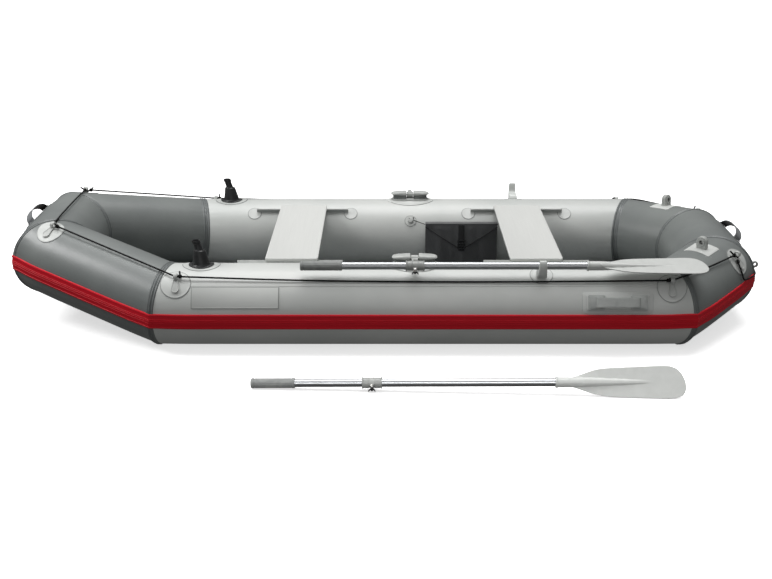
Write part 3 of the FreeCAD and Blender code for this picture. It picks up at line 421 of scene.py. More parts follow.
# %% Metal and board
satin_aluminium, tree, shader = new_material("drawn_aluminium_satin", "#B0B2B4", 0.34, 1.0)
streaks = cloudy(tree, where(tree, Scale=(3, 250, 250)), 1, Detail=4)
vary_roughness(tree, shader, streaks, 0.33, 0.36)
vary_colour(tree, shader, streaks, "#AFB1B3", "#B4B6B8")
raise_bump(tree, shader, streaks, 0.00003, 0.05)

stainless, tree, shader = new_material("turned_stainless_steel", "#C9C8C5", 0.30, 1.0)
turning = cloudy(tree, where(tree), 1 / 0.0015, Detail=3)
vary_roughness(tree, shader, turning, 0.24, 0.38)
raise_bump(tree, shader, turning, 0.00005, 0.3)

dark_zinc = moulded("cast_zinc_wing_dark", "#3A3A3A", "#4A4A49", 0.45, Metallic=0.6)

coated_board, tree, shader = new_material("coated_plywood_pale", "#CDCECB", 0.48, Specular_IOR_Level=0.4)
veneer = cloudy(tree, where(tree, Scale=(160, 5, 40)), 1, Detail=5, Roughness=0.7, Distortion=0.4)
vary_colour(tree, shader, veneer, "#C8C9C6", "#D0D1CE", 0.2, 0.8)
vary_roughness(tree, shader, veneer, 0.42, 0.56)
raise_bump(tree, shader, veneer, 0.0001, 0.15)
print("metals and board", satin_aluminium.name, stainless.name, coated_board.name)

# %% [markdown]
# Webbing and the pouch's cloth are woven from thick nylon yarn. The yarns of webbing are about 1.6 mm
# apart and those of the pouch about 0.9 mm; both are drawn a little coarser here so that they still
# show. Two crossed waves make a plain weave, and a slow noise underneath makes the soft creases.

# %% Woven finishes
def woven(name, dark, light, roughness, pitch, crease=0.0):
    """A plain weave of thick yarn, with soft creases under it."""
    made, tree, shader = new_material(name, light, roughness, Sheen_Weight=0.3, Sheen_Roughness=0.5,
                                      Specular_IOR_Level=0.3)
    place = where(tree)
    weave = crossed(tree, (place, place), *({"Scale": 0.314 / pitch, "bands_direction": way} for way in "XZ"))
    vary_colour(tree, shader, weave, dark, light, 0.1, 0.9)
    folds = cloudy(tree, place, 1 / 0.09, Detail=3, Distortion=0.6)
    soft = raise_bump(tree, shader, folds, crease, 0.6)
    raise_bump(tree, shader, weave, 0.0004, 0.6, soft)
    return made


# Black webbing: the pouch's own closing strap, and the painted shade on the grab straps' inner faces.
black_webbing_and_shade = woven("woven_nylon_webbing_black_and_painted_shade", "#121314", "#222426", 0.6, 0.0018)
grey_webbing = woven("woven_nylon_webbing_grey", "#5E6163", "#6E7173", 0.6, 0.0018)
pouch_nylon = woven("woven_nylon_pouch_black", "#444546", "#565758", 0.52, 0.0012, 0.010)
piping = woven("woven_nylon_piping_black", "#0D0E0F", "#17181A", 0.55, 0.0012)
print("woven", black_webbing_and_shade.name, pouch_nylon.name)

# %% [markdown]
# Nearly everything on this boat is placed by a tube: how far along it, and how far round from its
# top. The eight tubes run between eight joints in a ring, so a small class holds one tube's axis and
# gives the matrix of any spot on its skin: X along the tube, Z straight away from it, and Y back over
# its top. A fitting is modelled flat at the world's origin and carried there in its mesh.

# %% The ring of tubes
MM = 0.001
TUBE_RADIUS = 0.1523
AXIS_HEIGHT = 0.1543
PORT_SIDE = [Vector((-0.820, -0.4843, AXIS_HEIGHT)), Vector((1.075, -0.4843, AXIS_HEIGHT)),
             Vector((1.3027, -0.2045, AXIS_HEIGHT + 0.029))]
NOSE = Vector((-1.3027, -0.2057, AXIS_HEIGHT + 0.100))
JOINTS = PORT_SIDE + [Vector((p.x, -p.y, p.z)) for p in [*PORT_SIDE[::-1], NOSE]] + [NOSE]
UP = Vector((0, 0, 1))


class Tube:
    """A straight tube from one joint of the ring to the next."""

    def __init__(self, number):
        self.number = number
        self.start, self.end = JOINTS[number], JOINTS[(number + 1) % len(JOINTS)]
        self.length = (self.end - self.start).length
        self.axis = (self.end - self.start).normalized()
        self.side = self.axis.cross(UP).normalized()
        self.top = self.side.cross(self.axis)

    def outward(self, lean):
        """Straight away from the tube, leaning outboard from its top by so many degrees."""
        return self.top * cos(radians(lean)) + self.side * sin(radians(lean))

    def along(self, x):
        """How far along a side tube the given X lies."""
        return abs(x - self.start.x)

    def spot(self, reach, lean, height=0.0):
        """A matrix on the skin: X along the tube, Y back over its top, Z away from it."""
        away = self.outward(lean)
        square = Matrix((self.axis, away.cross(self.axis), away)).transposed().to_4x4()
        return Matrix.Translation(self.start + self.axis * reach + away * (TUBE_RADIUS + height)) @ square


TUBES = [Tube(number) for number in range(len(JOINTS))]
(PORT, STERN_PORT, STERN, STERN_STARBOARD, STARBOARD, BOW_STARBOARD, BOW, BOW_PORT) = TUBES
TUBE_NAMES = ["port_tube", "stern_port_tube", "stern_tube", "stern_starboard_tube",
              "starboard_tube", "bow_starboard_tube", "bow_tube", "bow_port_tube"]


def mitre(number):
    """The direction square to the mitre at a joint, pointing round the ring."""
    return (TUBES[number - 1].axis + TUBES[number % len(TUBES)].axis).normalized()


print("tubes", {name: round(tube.length, 3) for name, tube in zip(TUBE_NAMES, TUBES)})

# %% [markdown]
# These helpers are the hand moves that every piece uses: start from a primitive with nothing else
# selected, select faces or edges by where they are, apply a modifier, and put a finished mesh where it
# belongs while its object stays at the origin.

# %% Helpers for modelling
def begin(name, operator, **settings):
    """Add one primitive with nothing else selected, and name it."""
    deselect_all()
    operator(**settings)
    piece = bpy.context.object
    piece.name = piece.data.name = name
    return piece


def work_on(*pieces):
    """Select these and make the first active."""
    deselect_all()
    for piece in pieces:
        piece.select_set(True)
    bpy.context.view_layer.objects.active = pieces[0]


def edit(piece, mode="FACE", everything=False):
    """Into edit mode with nothing selected, or with everything."""
    work_on(piece)
    bpy.ops.object.mode_set(mode="EDIT")
    bpy.ops.mesh.select_mode(type=mode)
    bpy.ops.mesh.select_all(action="SELECT" if everything else "DESELECT")


def pick(piece, test, kind="faces"):
    """Select the faces, edges or vertices that pass a test, while in edit mode."""
    mesh = bmesh.from_edit_mesh(piece.data)
    for element in getattr(mesh, kind):
        element.select_set(bool(test(element)))
    mesh.select_flush_mode()
    bmesh.update_edit_mesh(piece.data)


def done():
    """Out of edit mode."""
    bpy.ops.object.mode_set(mode="OBJECT")


def modify(piece, kind, **settings):
    """Add a modifier and apply it."""
    work_on(piece)
    modifier = piece.modifiers.new(kind.lower(), kind)
    for name, value in settings.items():
        setattr(modifier, name, value)
    bpy.ops.object.modifier_apply(modifier=modifier.name)


def bevel(piece, width, segments, angle):
    """Round the edges where faces meet at more than an angle."""
    modify(piece, "BEVEL", width=width, segments=segments, limit_method="ANGLE", angle_limit=radians(angle))


def smooth(piece, angle):
    """Shade smooth, but for edges sharper than an angle."""
    work_on(piece)
    bpy.ops.object.shade_smooth_by_angle(angle=radians(angle))


def place(piece, matrix):
    """Carry the mesh, not the object."""
    piece.data.transform(matrix)
    piece.data.update()
    return piece


def shift(x, y, z):
    """A move by so much in X, Y and Z."""
    return Matrix.Translation((x, y, z))


def turn(axis, angle):
    """A turn about an axis, in degrees."""
    return Matrix.Rotation(radians(angle), 4, axis)


def shape(piece, move):
    """Move every vertex to where a function of its place says."""
    for vertex in piece.data.vertices:
        vertex.co = move(vertex.co.copy())
    piece.data.update()


def outward_faces(piece):
    """Doubles merged and normals pointing outwards."""
    edit(piece, everything=True)
    bpy.ops.mesh.remove_doubles(threshold=0.00002)
    bpy.ops.mesh.normals_make_consistent(inside=False)
    done()


def join(pieces, name):
    """One object out of several."""
    work_on(*pieces)
    if len(pieces) > 1:
        bpy.ops.object.join()
    joined = bpy.context.object
    joined.name = joined.data.name = name
    return joined


def copy_of(piece, name):
    """A copy with its own mesh."""
    twin = piece.copy()
    twin.data = piece.data.copy()
    twin.name = twin.data.name = name
    bpy.context.scene.collection.objects.link(twin)
    return twin


def dress(piece, finish, body, record_slot, *stands_for):
    """Give a finished piece its material, its body and the CAD nodes it stands for; the record slot is not
    used.
    """
    if finish:
        piece.data.materials.clear()
        piece.data.materials.append(finish)
    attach(piece, body)
    if stands_for:
        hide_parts(*stands_for)
    return piece


def whole(pieces, name, angle, finish, record_slot, *stands_for, body="hull"):
    """Join the pieces, smooth what they make and dress it."""
    made = join(pieces, name)
    smooth(made, angle)
    dress(made, finish, body, record_slot, *stands_for)
    print(name, len(made.data.polygons), "faces")
    return made


def finish_nodes(finish, *names):
    """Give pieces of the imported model, which stay as they are, their finish."""
    for name in names:
        nodes[name].data.materials.clear()
        nodes[name].data.materials.append(finish)


# %% [markdown]
# A tube of this boat is a cloth cylinder cut on the slant at both ends and glued to its neighbours.
# Inflated, it is truly round along its length; at a joint the seam can't stretch, so the cloth draws
# in a little, the outer corner rounds off, and short puckers run out of the seam. A cylinder with
# many rings is bisected by its two mitre planes, and its vertices are then drawn in towards the axis
# by their distance from the seam.

# %% Tubes
CORNER_DRAW = {0: 0.005, 1: 0.013, 2: 0.008, 3: 0.008, 4: 0.013, 5: 0.005, 6: 0.021, 7: 0.021}
CORNER_REACH = 0.075
OVERHANG, RING_STEP = 0.2, 0.012
PUCKER_HEIGHT = 0.0016
PUCKER_REACH = 0.055


def at_corner(tube, point):
    """How deep in each of the tube's two corners a point is, with the corner's outer direction."""
    for joint in (tube.number, (tube.number + 1) % len(TUBES)):
        depth = abs((point - JOINTS[joint]).dot(mitre(joint)))
        bend = TUBES[joint - 1].axis - TUBES[joint % len(TUBES)].axis
        yield joint, depth, bend.normalized()


def inflated(tube, point, ride_height=0.0):
    """The skin's own point nearest to a point of the true cylinder, and so much above the skin."""
    along = (point - tube.start).dot(tube.axis)
    foot = tube.start + tube.axis * along
    ray = (point - foot).normalized()
    reach = TUBE_RADIUS + ride_height
    drawn_in = Vector()
    for joint, depth, outer in at_corner(tube, point):
        facing = max(0.0, ray.dot(outer))
        inner = max(0.0, -ray.dot(outer))
        drawn_in += outer * (CORNER_DRAW[joint] * facing ** 2 * exp(-((depth / CORNER_REACH) ** 2)))
        wave = noise.noise(Vector((ray.dot(tube.top) * 14, ray.dot(tube.side) * 14, joint * 3.7)))
        reach -= PUCKER_HEIGHT * (0.5 + wave) * (0.35 + 0.65 * inner) * exp(-((depth / PUCKER_REACH) ** 2))
    return foot + ray * reach - drawn_in


def cylinder_on(tube, name, radius, rings, sides, first=None, last=None):
    """An open cylinder round a tube's axis, from one reach along it to another, in even rings."""
    first = -OVERHANG if first is None else first
    last = tube.length + OVERHANG if last is None else last
    piece = begin(name, bpy.ops.mesh.primitive_cylinder_add, vertices=sides, radius=radius,
                  depth=last - first, end_fill_type="NOTHING")
    edit(piece, "EDGE")
    pick(piece, lambda edge: abs(edge.verts[0].co.z - edge.verts[1].co.z) > radius, "edges")
    bpy.ops.mesh.subdivide(number_cuts=rings)
    done()
    square = Matrix((tube.side, tube.top * -1, tube.axis)).transposed().to_4x4()
    place(piece, Matrix.Translation(tube.start + tube.axis * ((first + last) / 2)) @ square)
    return piece


def slice_off(piece, point, normal, clear=True, fill=False):
    """Cut by a plane, and throw away what lies beyond it or only leave the cut."""
    edit(piece, everything=True)
    bpy.ops.mesh.bisect(plane_co=point, plane_no=normal, clear_outer=clear, use_fill=fill)
    done()


for tube, name in zip(TUBES, TUBE_NAMES):
    skin = cylinder_on(tube, name + "_skin", TUBE_RADIUS, int((tube.length + 2 * OVERHANG) / RING_STEP), 112)
    slice_off(skin, tube.start, mitre(tube.number) * -1)
    slice_off(skin, tube.end, mitre(tube.number + 1))
    shape(skin, lambda co, tube=tube: inflated(tube, co))
    smooth(skin, 60)
    side = tube in (PORT, STARBOARD)
    dress(skin, light_cloth if side else dark_cloth, "hull", "side_fabric" if side else "trim_fabric", name)
    print(skin.name, len(skin.data.vertices), "vertices")

# %% [markdown]
# The joints are covered by glued tape. Where light cloth meets dark it is a wide band with three
# rounded ribs, at the other corners only a narrow welt. A band is an open cylinder cut by planes
# parallel to the mitre, so its edge loops run round with the seam, and each loop is lifted by the
# ribs' profile. A thin Solidify then gives it a real edge.

# %% Seam bands
RIB_PITCH = 0.009
WIDE_JOINTS = (0, 1, 4, 5)
WIDE_HALF, NARROW_HALF, EDGE_WIDTH = 0.0135, 0.009, 0.0006
BAND_REACH = 0.13
UNDERSIDE = -0.93


def rib_height(depth, half_width, wide):
    """How far a band stands off the skin at a distance from its middle."""
    if depth > half_width - EDGE_WIDTH:
        return 0.0003
    if wide:
        return 0.0018 + 0.0013 * cos(2 * pi * depth / RIB_PITCH)
    return 0.0014 + 0.0008 * cos(2 * pi * depth / half_width)


def band_half(joint, tube, normal, half_width, wide, name):
    """One tube's half of a band: normal points from the joint into this tube."""
    near = 0.0 if tube.number == joint % len(TUBES) else tube.length
    half = cylinder_on(tube, name, TUBE_RADIUS, 0, 144, near - BAND_REACH, near + BAND_REACH)
    slice_off(half, JOINTS[joint], normal * -1)
    slice_off(half, JOINTS[joint] + normal * half_width, normal)
    loops = 14 if wide else 9
    for loop in range(1, loops):
        slice_off(half, JOINTS[joint] + normal * (half_width * loop / loops), normal, clear=False)
    # no tape goes under the hull, where the bottom sheet lies
    edit(half)
    pick(half, lambda face: (face.calc_center_median() - JOINTS[joint]).normalized().z < UNDERSIDE)
    bpy.ops.mesh.delete(type="FACE")
    done()
    lift = lambda co: inflated(tube, co, rib_height(abs((co - JOINTS[joint]).dot(normal)), half_width, wide))
    shape(half, lift)
    return half


bands = []
for joint in range(len(TUBES)):
    wide = joint in WIDE_JOINTS
    half_width = WIDE_HALF if wide else NARROW_HALF
    before, after = TUBES[joint - 1], TUBES[joint]
    bands.append(band_half(joint, before, mitre(joint) * -1, half_width, wide, "band_before"))
    bands.append(band_half(joint, after, mitre(joint), half_width, wide, "band_after"))
seam_bands = join(bands, "seam_bands")
outward_faces(seam_bands)
modify(seam_bands, "SOLIDIFY", thickness=0.0008, offset=-1)
whole([seam_bands], "seam_bands", 50, band_cloth, "seam_tape", "seam_tapes")

# %% [markdown]
# The strake is one soft extrusion: a lip along each edge, a flat web and three fine ribs in the
# middle. It runs round the widest line of the hull and is mitred where the tubes are. A grid gives
# its rows and columns, the rows follow the profile, and the columns run from mitre to mitre.

# %% Rubbing strake
STRAKE_LEAN = 97.6
STRAKE_HALF = [(0, 4.6), (2, 4.6), (3, 3.3), (5.2, 3.3), (6.2, 4.4), (8, 4.4), (9, 3.2), (15, 3.1), (22, 3.2),
               (23.2, 4.9), (27.4, 4.9), (28.8, 3.8), (29.4, 0.2)]
STRAKE_PROFILE = [(-across, height) for across, height in STRAKE_HALF[:0:-1]] + STRAKE_HALF
strake_rays = {0: PORT.outward(STRAKE_LEAN)}
for number, source, joint in ((7, 0, 0), (6, 7, 7), (1, 0, 1), (2, 1, 2)):
    ray, corner = strake_rays[source], mitre(joint)
    ray = ray - TUBES[source].axis * (corner.dot(ray) / corner.dot(TUBES[source].axis))
    strake_rays[number] = (ray - TUBES[number].axis * ray.dot(TUBES[number].axis)).normalized()
for number, twin in ((3, 1), (4, 0), (5, 7)):
    strake_rays[number] = Vector((strake_rays[twin].x, -strake_rays[twin].y, strake_rays[twin].z))


def along_profile(share):
    """The profile's across and height, in metres, at a share of its points."""
    position = share * (len(STRAKE_PROFILE) - 1)
    first = min(int(position), len(STRAKE_PROFILE) - 2)
    blend = position - first
    (a, h), (b, k) = STRAKE_PROFILE[first], STRAKE_PROFILE[first + 1]
    return (a + (b - a) * blend) / 1000, (h + (k - h) * blend) / 1000


def strake_length(tube):
    """One tube's length of the strake."""
    columns = max(24, int(tube.length / RING_STEP))
    piece = begin("strake_part", bpy.ops.mesh.primitive_grid_add, size=1, x_subdivisions=columns,
                  y_subdivisions=len(STRAKE_PROFILE) - 1)
    middle = strake_rays[tube.number]
    up = tube.axis.cross(middle)
    start_cut, end_cut = mitre(tube.number), mitre(tube.number + 1)

    def lay(co):
        """A grid's point on the profile, between the two mitres."""
        across, height = along_profile(co.y + 0.5)
        angle = across / TUBE_RADIUS
        ray = middle * cos(angle) + up * sin(angle)
        reach = TUBE_RADIUS + height
        first = -ray.dot(start_cut) * reach / tube.axis.dot(start_cut)
        last = tube.length - ray.dot(end_cut) * reach / tube.axis.dot(end_cut)
        point = tube.start + tube.axis * (first + (last - first) * (co.x + 0.5)) + ray * reach
        return inflated(tube, point, height)

    shape(piece, lay)
    face = piece.data.polygons[0]
    foot = tube.start + tube.axis * (face.center - tube.start).dot(tube.axis)
    if face.normal.dot(face.center - foot) < 0:
        edit(piece, everything=True)
        bpy.ops.mesh.flip_normals()
        done()
    return piece


strake = join([strake_length(tube) for tube in TUBES], "rubbing_strake")
edit(strake, everything=True)
bpy.ops.mesh.remove_doubles(threshold=0.0004)
done()
modify(strake, "SOLIDIFY", thickness=0.0010, offset=-1)
whole([strake], "rubbing_strake", 40, strake_red, "strake_rubber", "rub_strake")

# %% [markdown]
# Patches are cut flat, with their corners rounded, and glued on. So each is modelled flat on the
# floor of the world and then wrapped: X stays along the tube, Y becomes an angle round it and Z a
# height off the skin. A flat face can't curve between its corners, so a patch is first sliced into
# narrow rows.

# %% Wrapping a flat piece round a tube
ROW = 0.008
ROWS, COLUMNS = Vector((0, 1, 0)), Vector((1, 0, 0))


def slice_up(piece, step, across):
    """Cut a flat piece at even steps across its X or its Y, so that it can follow a curve."""
    half = max(abs(vertex.co.dot(across)) for vertex in piece.data.vertices)
    count = int(half / step)
    edit(piece)
    for cut in range(-count, count + 1):
        bpy.ops.mesh.select_all(action="SELECT")
        bpy.ops.mesh.bisect(plane_co=across * (cut * step + step / 3), plane_no=across)
    done()


def wrap(piece, tube, reach, lean):
    """Lay a flat piece on the tube's skin with its origin at that spot."""
    def lay(co):
        """Y as an angle, Z as a height off the skin."""
        ray = tube.outward(lean - degrees(co.y / TUBE_RADIUS))
        return inflated(tube, tube.start + tube.axis * (reach + co.x) + ray * TUBE_RADIUS, co.z)

    shape(piece, lay)


SOFT_EDGE = 0.0007


def disc(name, radius, thickness, sides, length=None):
    """A flat round or oval patch with a softened rim; length makes it oval along X."""
    piece = begin(name, bpy.ops.mesh.primitive_cylinder_add, vertices=sides, radius=radius,
                  depth=thickness + 0.0004, location=(0, 0, (thickness - 0.0004) / 2))
    place(piece, Matrix.Translation(piece.location))
    piece.location = (0, 0, 0)
    if length:
        shape(piece, lambda co: Vector((co.x * length / (2 * radius), co.y, co.z)))
    bevel(piece, SOFT_EDGE, 2, 60)
    return piece


def plaque(name, length, width, thickness, corner, edge=SOFT_EDGE):
    """A flat rectangular patch with round corners and a softened rim."""
    piece = begin(name, bpy.ops.mesh.primitive_cube_add, size=1)
    shape(piece, lambda co: Vector((co.x * length, co.y * width, thickness if co.z > 0 else -0.0004)))
    edit(piece, "EDGE")
    pick(piece, lambda e: abs(e.verts[0].co.z - e.verts[1].co.z) > thickness / 2, "edges")
    bpy.ops.mesh.bevel(offset=corner, segments=5)
    done()
    bevel(piece, edge, 2, 60)
    return piece


def rim(piece, inset, lift):
    """Inset the top face and raise or sink what is inside it."""
    top = max(vertex.co.z for vertex in piece.data.vertices)
    edit(piece)
    pick(piece, lambda face: face.normal.z > 0.99 and face.calc_center_median().z > top - 1e-5)
    bpy.ops.mesh.inset(thickness=inset)
    bpy.ops.mesh.inset(thickness=0.0012)
    bpy.ops.transform.translate(value=(0, 0, lift))
    done()


def shade_patch_edge(piece, inside):
    """Two finishes on a patch: its cloth inside, and a darker line round its edge that is painted shade."""
    piece.data.materials.append(light_cloth)
    piece.data.materials.append(edge_shade_cloth)
    for face in piece.data.polygons:
        face.material_index = 0 if inside(face.center.x, face.center.y) else 1
    return piece


def round_patch(radius, sides=64, length=None):
    """A round or oval patch with a flat rim, its edge painted darker as shade."""
    piece = disc("glued_patch", radius, 0.0015, sides, length=length)
    rim(piece, 0.0020, -0.0004)
    stretch = 2 * radius / length if length else 1
    return shade_patch_edge(piece, lambda x, y: sqrt((x * stretch) ** 2 + y ** 2) < radius - 0.0024)


SIDES = {"port": PORT, "starboard": STARBOARD}
patches = []


def glue(piece, tube, reach, lean, step=ROW):
    """Slice, wrap and keep a patch."""
    slice_up(piece, step, ROWS)
    wrap(piece, tube, reach, lean)
    return piece


for tube in SIDES.values():
    for x in RAIL_XS:
        patches.append(glue(round_patch(0.030), tube, tube.along(x), RAIL_LEAN))
    patches.append(glue(round_patch(0.043), tube, tube.along(KEEPER_X), KEEPER_LEAN))
    patches.append(glue(round_patch(0.053, 72, 0.142), tube, tube.along(ROD_X), 0))
for x in STUD_XS:
    patches.append(glue(round_patch(0.026), STARBOARD, STARBOARD.along(x), STUD_LEAN))
whole(patches, "glued_patches", 35, None, "patch_fabric", "round_patches")

# %% [markdown]
# The bigger patches carry a load, so they have a welded border or several layers. The bare name patch
# has a welded frame with its edge painted darker as shade, the carrying handle stands on three stacked
# plates with round corners and edges painted darker as shade, and the motor bracket's lugs stand on
# square ones. The grab straps' dark plates are made with the straps.

# %% Load patches
HOLDER_DISC = 0.057
HOLDER_SPOTS = [(tube, tube.along(x), lean) for tube in SIDES.values()
                for x, lean in ((FORE_EYE[0], 43), (AFT_EYE[0], 49))]
HOLDER_SPOTS += [(BOW_PORT, 0.033, 26), (BOW_STARBOARD, BOW_STARBOARD.length - 0.033, 26),
                 (STERN_PORT, STERN_PORT.length - 0.050, 52), (STERN_STARBOARD, 0.050, 52)]
discs = []
for tube, reach, lean in HOLDER_SPOTS:
    round_disc = disc("holder_disc", HOLDER_DISC, 0.0020, 72)
    rim(round_disc, 0.0025, -0.0005)
    # the disc's outer ring is painted darker as shade
    shade_patch_edge(round_disc, lambda x, y: sqrt(x ** 2 + y ** 2) < HOLDER_DISC - 0.0024)
    slice_up(round_disc, 0.012, COLUMNS)
    discs.append(glue(round_disc, tube, reach, lean))
whole(discs, "rope_holder_plates", 35, None, "patch_fabric", "rope_holder_discs")

side_plates = []
for tube in SIDES.values():
    name_plate = plaque("name_plate", 0.320, 0.082, 0.0020, 0.003)
    rim(name_plate, 0.0022, -0.0005)
    # the name plate's outer frame is painted darker as shade
    shade_patch_edge(name_plate, lambda x, y: abs(x) < 0.1578 and abs(y) < 0.0388)
    side_plates.append(glue(name_plate, tube, tube.along(NAME_X), NAME_LEAN))
    for length, width, thickness, corner in ((0.258, 0.080, 0.0015, 0.014), (0.232, 0.062, 0.0028, 0.011),
                                             (0.218, 0.050, 0.0040, 0.009)):
        plate = plaque("handle_plate", length, width, thickness, corner)
        # each handle plate's outer edge is painted darker as shade
        shade_patch_edge(plate, lambda x, y: abs(x) < length / 2 - 0.001 and abs(y) < width / 2 - 0.001)
        side_plates.append(glue(plate, tube, tube.along(CARRY_X), CARRY_LEAN, 0.005))
whole(side_plates, "side_plates", 35, None, "patch_fabric", "side_patches")

MOTOR_SPOTS = [(STERN_PORT, 0.226, 3), (STERN_STARBOARD, STERN_STARBOARD.length - 0.226, 3)]
motor_plates = []
for spot in MOTOR_SPOTS:
    square = plaque("motor_plate", 0.095, 0.104, 0.0015, 0.004)
    rim(square, 0.006, -0.0005)
    motor_plates.append(glue(square, *spot))
whole(motor_plates, "motor_bracket_plates", 35, patch_cloth, "patch_fabric", "motor_lug_patches")

# %% [markdown]
# Most fittings are either turned or cut from an outline. A turned shape starts as a one-point path
# that is extruded from corner to corner and then spun round its axis. An outline starts as a disc
# with as many corners as the outline has; each corner goes to its place, and the face is extruded.

# %% Turned and outlined shapes
def turned(name, path, steps=48, unit=MM):
    """Spin a path of (radius, height) corners round Z. A path that starts and ends on Z is closed."""
    path = [(radius * unit, height * unit) for radius, height in path]
    piece = begin(name, bpy.ops.mesh.primitive_plane_add, size=1)
    edit(piece, "VERT")
    pick(piece, lambda vertex: vertex.index > 0, "verts")
    bpy.ops.mesh.delete(type="VERT")
    done()
    piece.data.vertices[0].co = (path[0][0], 0, path[0][1])
    edit(piece, "VERT", everything=True)
    for (radius, height), (before, low) in zip(path[1:], path):
        bpy.ops.mesh.extrude_region_move(
            TRANSFORM_OT_translate={"value": (radius - before, 0, height - low)})
    bpy.ops.mesh.select_all(action="SELECT")
    bpy.ops.mesh.spin(steps=steps, angle=2 * pi, center=(0, 0, 0), axis=(0, 0, 1))
    done()
    outward_faces(piece)
    return piece


def outlined(name, outline, depth, low=0):
    """A flat solid: an outline in X and Y, extruded upwards from Z = low, all in millimetres."""
    piece = begin(name, bpy.ops.mesh.primitive_circle_add, vertices=len(outline), radius=1, fill_type="NGON")
    for vertex, (x, y) in zip(piece.data.vertices, outline):
        vertex.co = (x * MM, y * MM, low * MM)
    edit(piece, everything=True)
    bpy.ops.mesh.extrude_region_move(TRANSFORM_OT_translate={"value": (0, 0, depth * MM)})
    done()
    outward_faces(piece)
    return piece


def drill(piece, radius, matrix):
    """Take a round hole out of a piece, along the matrix's Z axis."""
    tool = begin("drill", bpy.ops.mesh.primitive_cylinder_add, vertices=40, radius=radius, depth=0.4)
    place(tool, matrix)
    modify(piece, "BOOLEAN", operation="DIFFERENCE", object=tool, solver="EXACT")
    bpy.data.objects.remove(tool, do_unlink=True)


def fluted(co, beyond, depth, count, sharpness):
    """Sink a round skin, outside a radius, between the crests of so many flutes."""
    radius = sqrt(co.x ** 2 + co.y ** 2)
    if radius < beyond:
        return co
    sink = depth * (0.5 - 0.5 * cos(count * atan2(co.y, co.x))) ** sharpness
    return Vector((co.x * (1 - sink / radius), co.y * (1 - sink / radius), co.z))


def mirrored(half):
    """A profile and its reflection in Z = 0."""
    return half + [(radius, -height) for radius, height in half[::-1]]


def closed(half):
    """The same for a ring, whose profile comes back to its first corner."""
    return mirrored(half) + half[:1]


def both_sides(half):
    """An outline's half and its reflection in X = 0."""
    return half + [(-x, y) for x, y in half[::-1]]


def arc(radius, first, last, steps, centre=(0, 0)):
    """Corners on an arc, in degrees from X towards Y."""
    angles = [radians(first + (last - first) * step / steps) for step in range(steps + 1)]
    return [(centre[0] + radius * cos(angle), centre[1] + radius * sin(angle)) for angle in angles]


ALONG = turn("Y", 90)
print("turning and outlining ready")

# %% [markdown]
# A rope lug is one soft moulding: a flat drop with a raised border that is welded to its round
# patch, and a short sleeve at its upper end that the rope runs through. The drop is long enough
# to curve with the tube, so it is wrapped; the sleeve is rigid and stays as turned.

# %% Rope lugs
DROP_RADIUS, DROP_REACH, NECK_HALF, NECK_END = 15, 22, 7, 24


def drop_lug(tube, reach, lean):
    """The drop on its patch, and the sleeve that carries the rope."""
    lower = arc(DROP_RADIUS, 180, 360, 16, (0, -DROP_REACH))
    upper = [(NECK_HALF + (DROP_RADIUS - NECK_HALF) * (1 - share) ** 1.6,
              -DROP_REACH + share * (DROP_REACH + NECK_END)) for share in (0.1, 0.2, 0.35, 0.55, 0.75, 1.0)]
    drop = outlined("drop", lower + both_sides(upper), 6.2, 1.4)
    rim(drop, 0.0018, -0.0012)
    bevel(drop, 0.0012, 2, 50)
    slice_up(drop, 0.006, ROWS)
    wrap(drop, tube, reach, lean)
    sleeve = turned("sleeve", closed([(8.4, -7), (11.5, -7), (12.5, -5.8)]), 40)
    place(sleeve, tube.spot(reach, lean) @ shift(0, NECK_END * MM, 0.012) @ ALONG)
    return [drop, sleeve]


lugs = []
for spot in HOLDER_SPOTS:
    lugs += drop_lug(*spot)
whole(lugs, "rope_lugs", 40, soft_pvc, "lug_plastic", "rope_holder_lugs")

# %% [markdown]
# Each rope ends in a tight overhand knot: two crossed turns of cord with two cut tails sticking out.
# The thin pouch cords are tied the same way, smaller, with three tails.

# %% Knots
KNOT_CORD = 0.0042


def knot(end, towards, thick, tails):
    """Two tilted rings and short tails, beyond a point of a rope."""
    pieces = []
    for height, lean in ((1.2, 24), (2.6, -24)):
        ring = begin("knot_ring", bpy.ops.mesh.primitive_torus_add, major_radius=1.15 * thick,
                     minor_radius=0.62 * thick, major_segments=28, minor_segments=12)
        pieces.append(place(ring, shift(0, 0, height * thick) @ turn("X", lean)))
    core_path = [(0, -0.6), (0.6, -0.3), (0.9, 1), (0.9, 3), (0.5, 3.9), (0, 4.1)]
    pieces.append(turned("knot_core", core_path, 20, thick))
    for swivel, tilt, length in tails:
        end_at = length / thick
        path = [(0, 0), (0.75, 0.2), (0.8, end_at - 1), (0.55, end_at - 0.2), (0, end_at)]
        swing = turn("Z", swivel) @ turn("X", tilt)
        pieces.append(place(turned("knot_tail", path, 14, thick), shift(0, 0, 2.2 * thick) @ swing))
    tied = join(pieces, "knot")
    away = (Vector(end) - Vector(towards)).normalized()
    return place(tied, Matrix.Translation(end) @ away.to_track_quat("Z", "X").to_matrix().to_4x4())


knot_finish = braided("braided_polyester_knots", ROPE_BLACK, 0.03)
knots = []
ROPE_TAILS = ((40, 100, 0.024), (205, 78, 0.018))
for route in (PORT_ROUTE, STARBOARD_ROUTE, BOW_ROUTE, STERN_ROUTE):
    for end, towards in ((route[0], route[1]), (route[-1], route[-2])):
        knots.append(knot(end, towards, KNOT_CORD, ROPE_TAILS))
for mirror in (1, -1):
    for (x, y, z), way in ((FORE_EYE, 1), (AFT_EYE, -1)):
        knots.append(knot((x + way * 0.008, y * mirror, z), (x, y * mirror, z), KNOT_CORD, ROPE_TAILS[:1]))
for route in (FORE_POUCH_ROUTE, AFT_POUCH_ROUTE):
    knots.append(knot(route[0], route[1], 0.0024, ((30, 60, 0.020), (150, 75, 0.017), (270, 110, 0.014))))
whole(knots, "rope_end_knots", 60, knot_finish, "rope", "rope_knots")
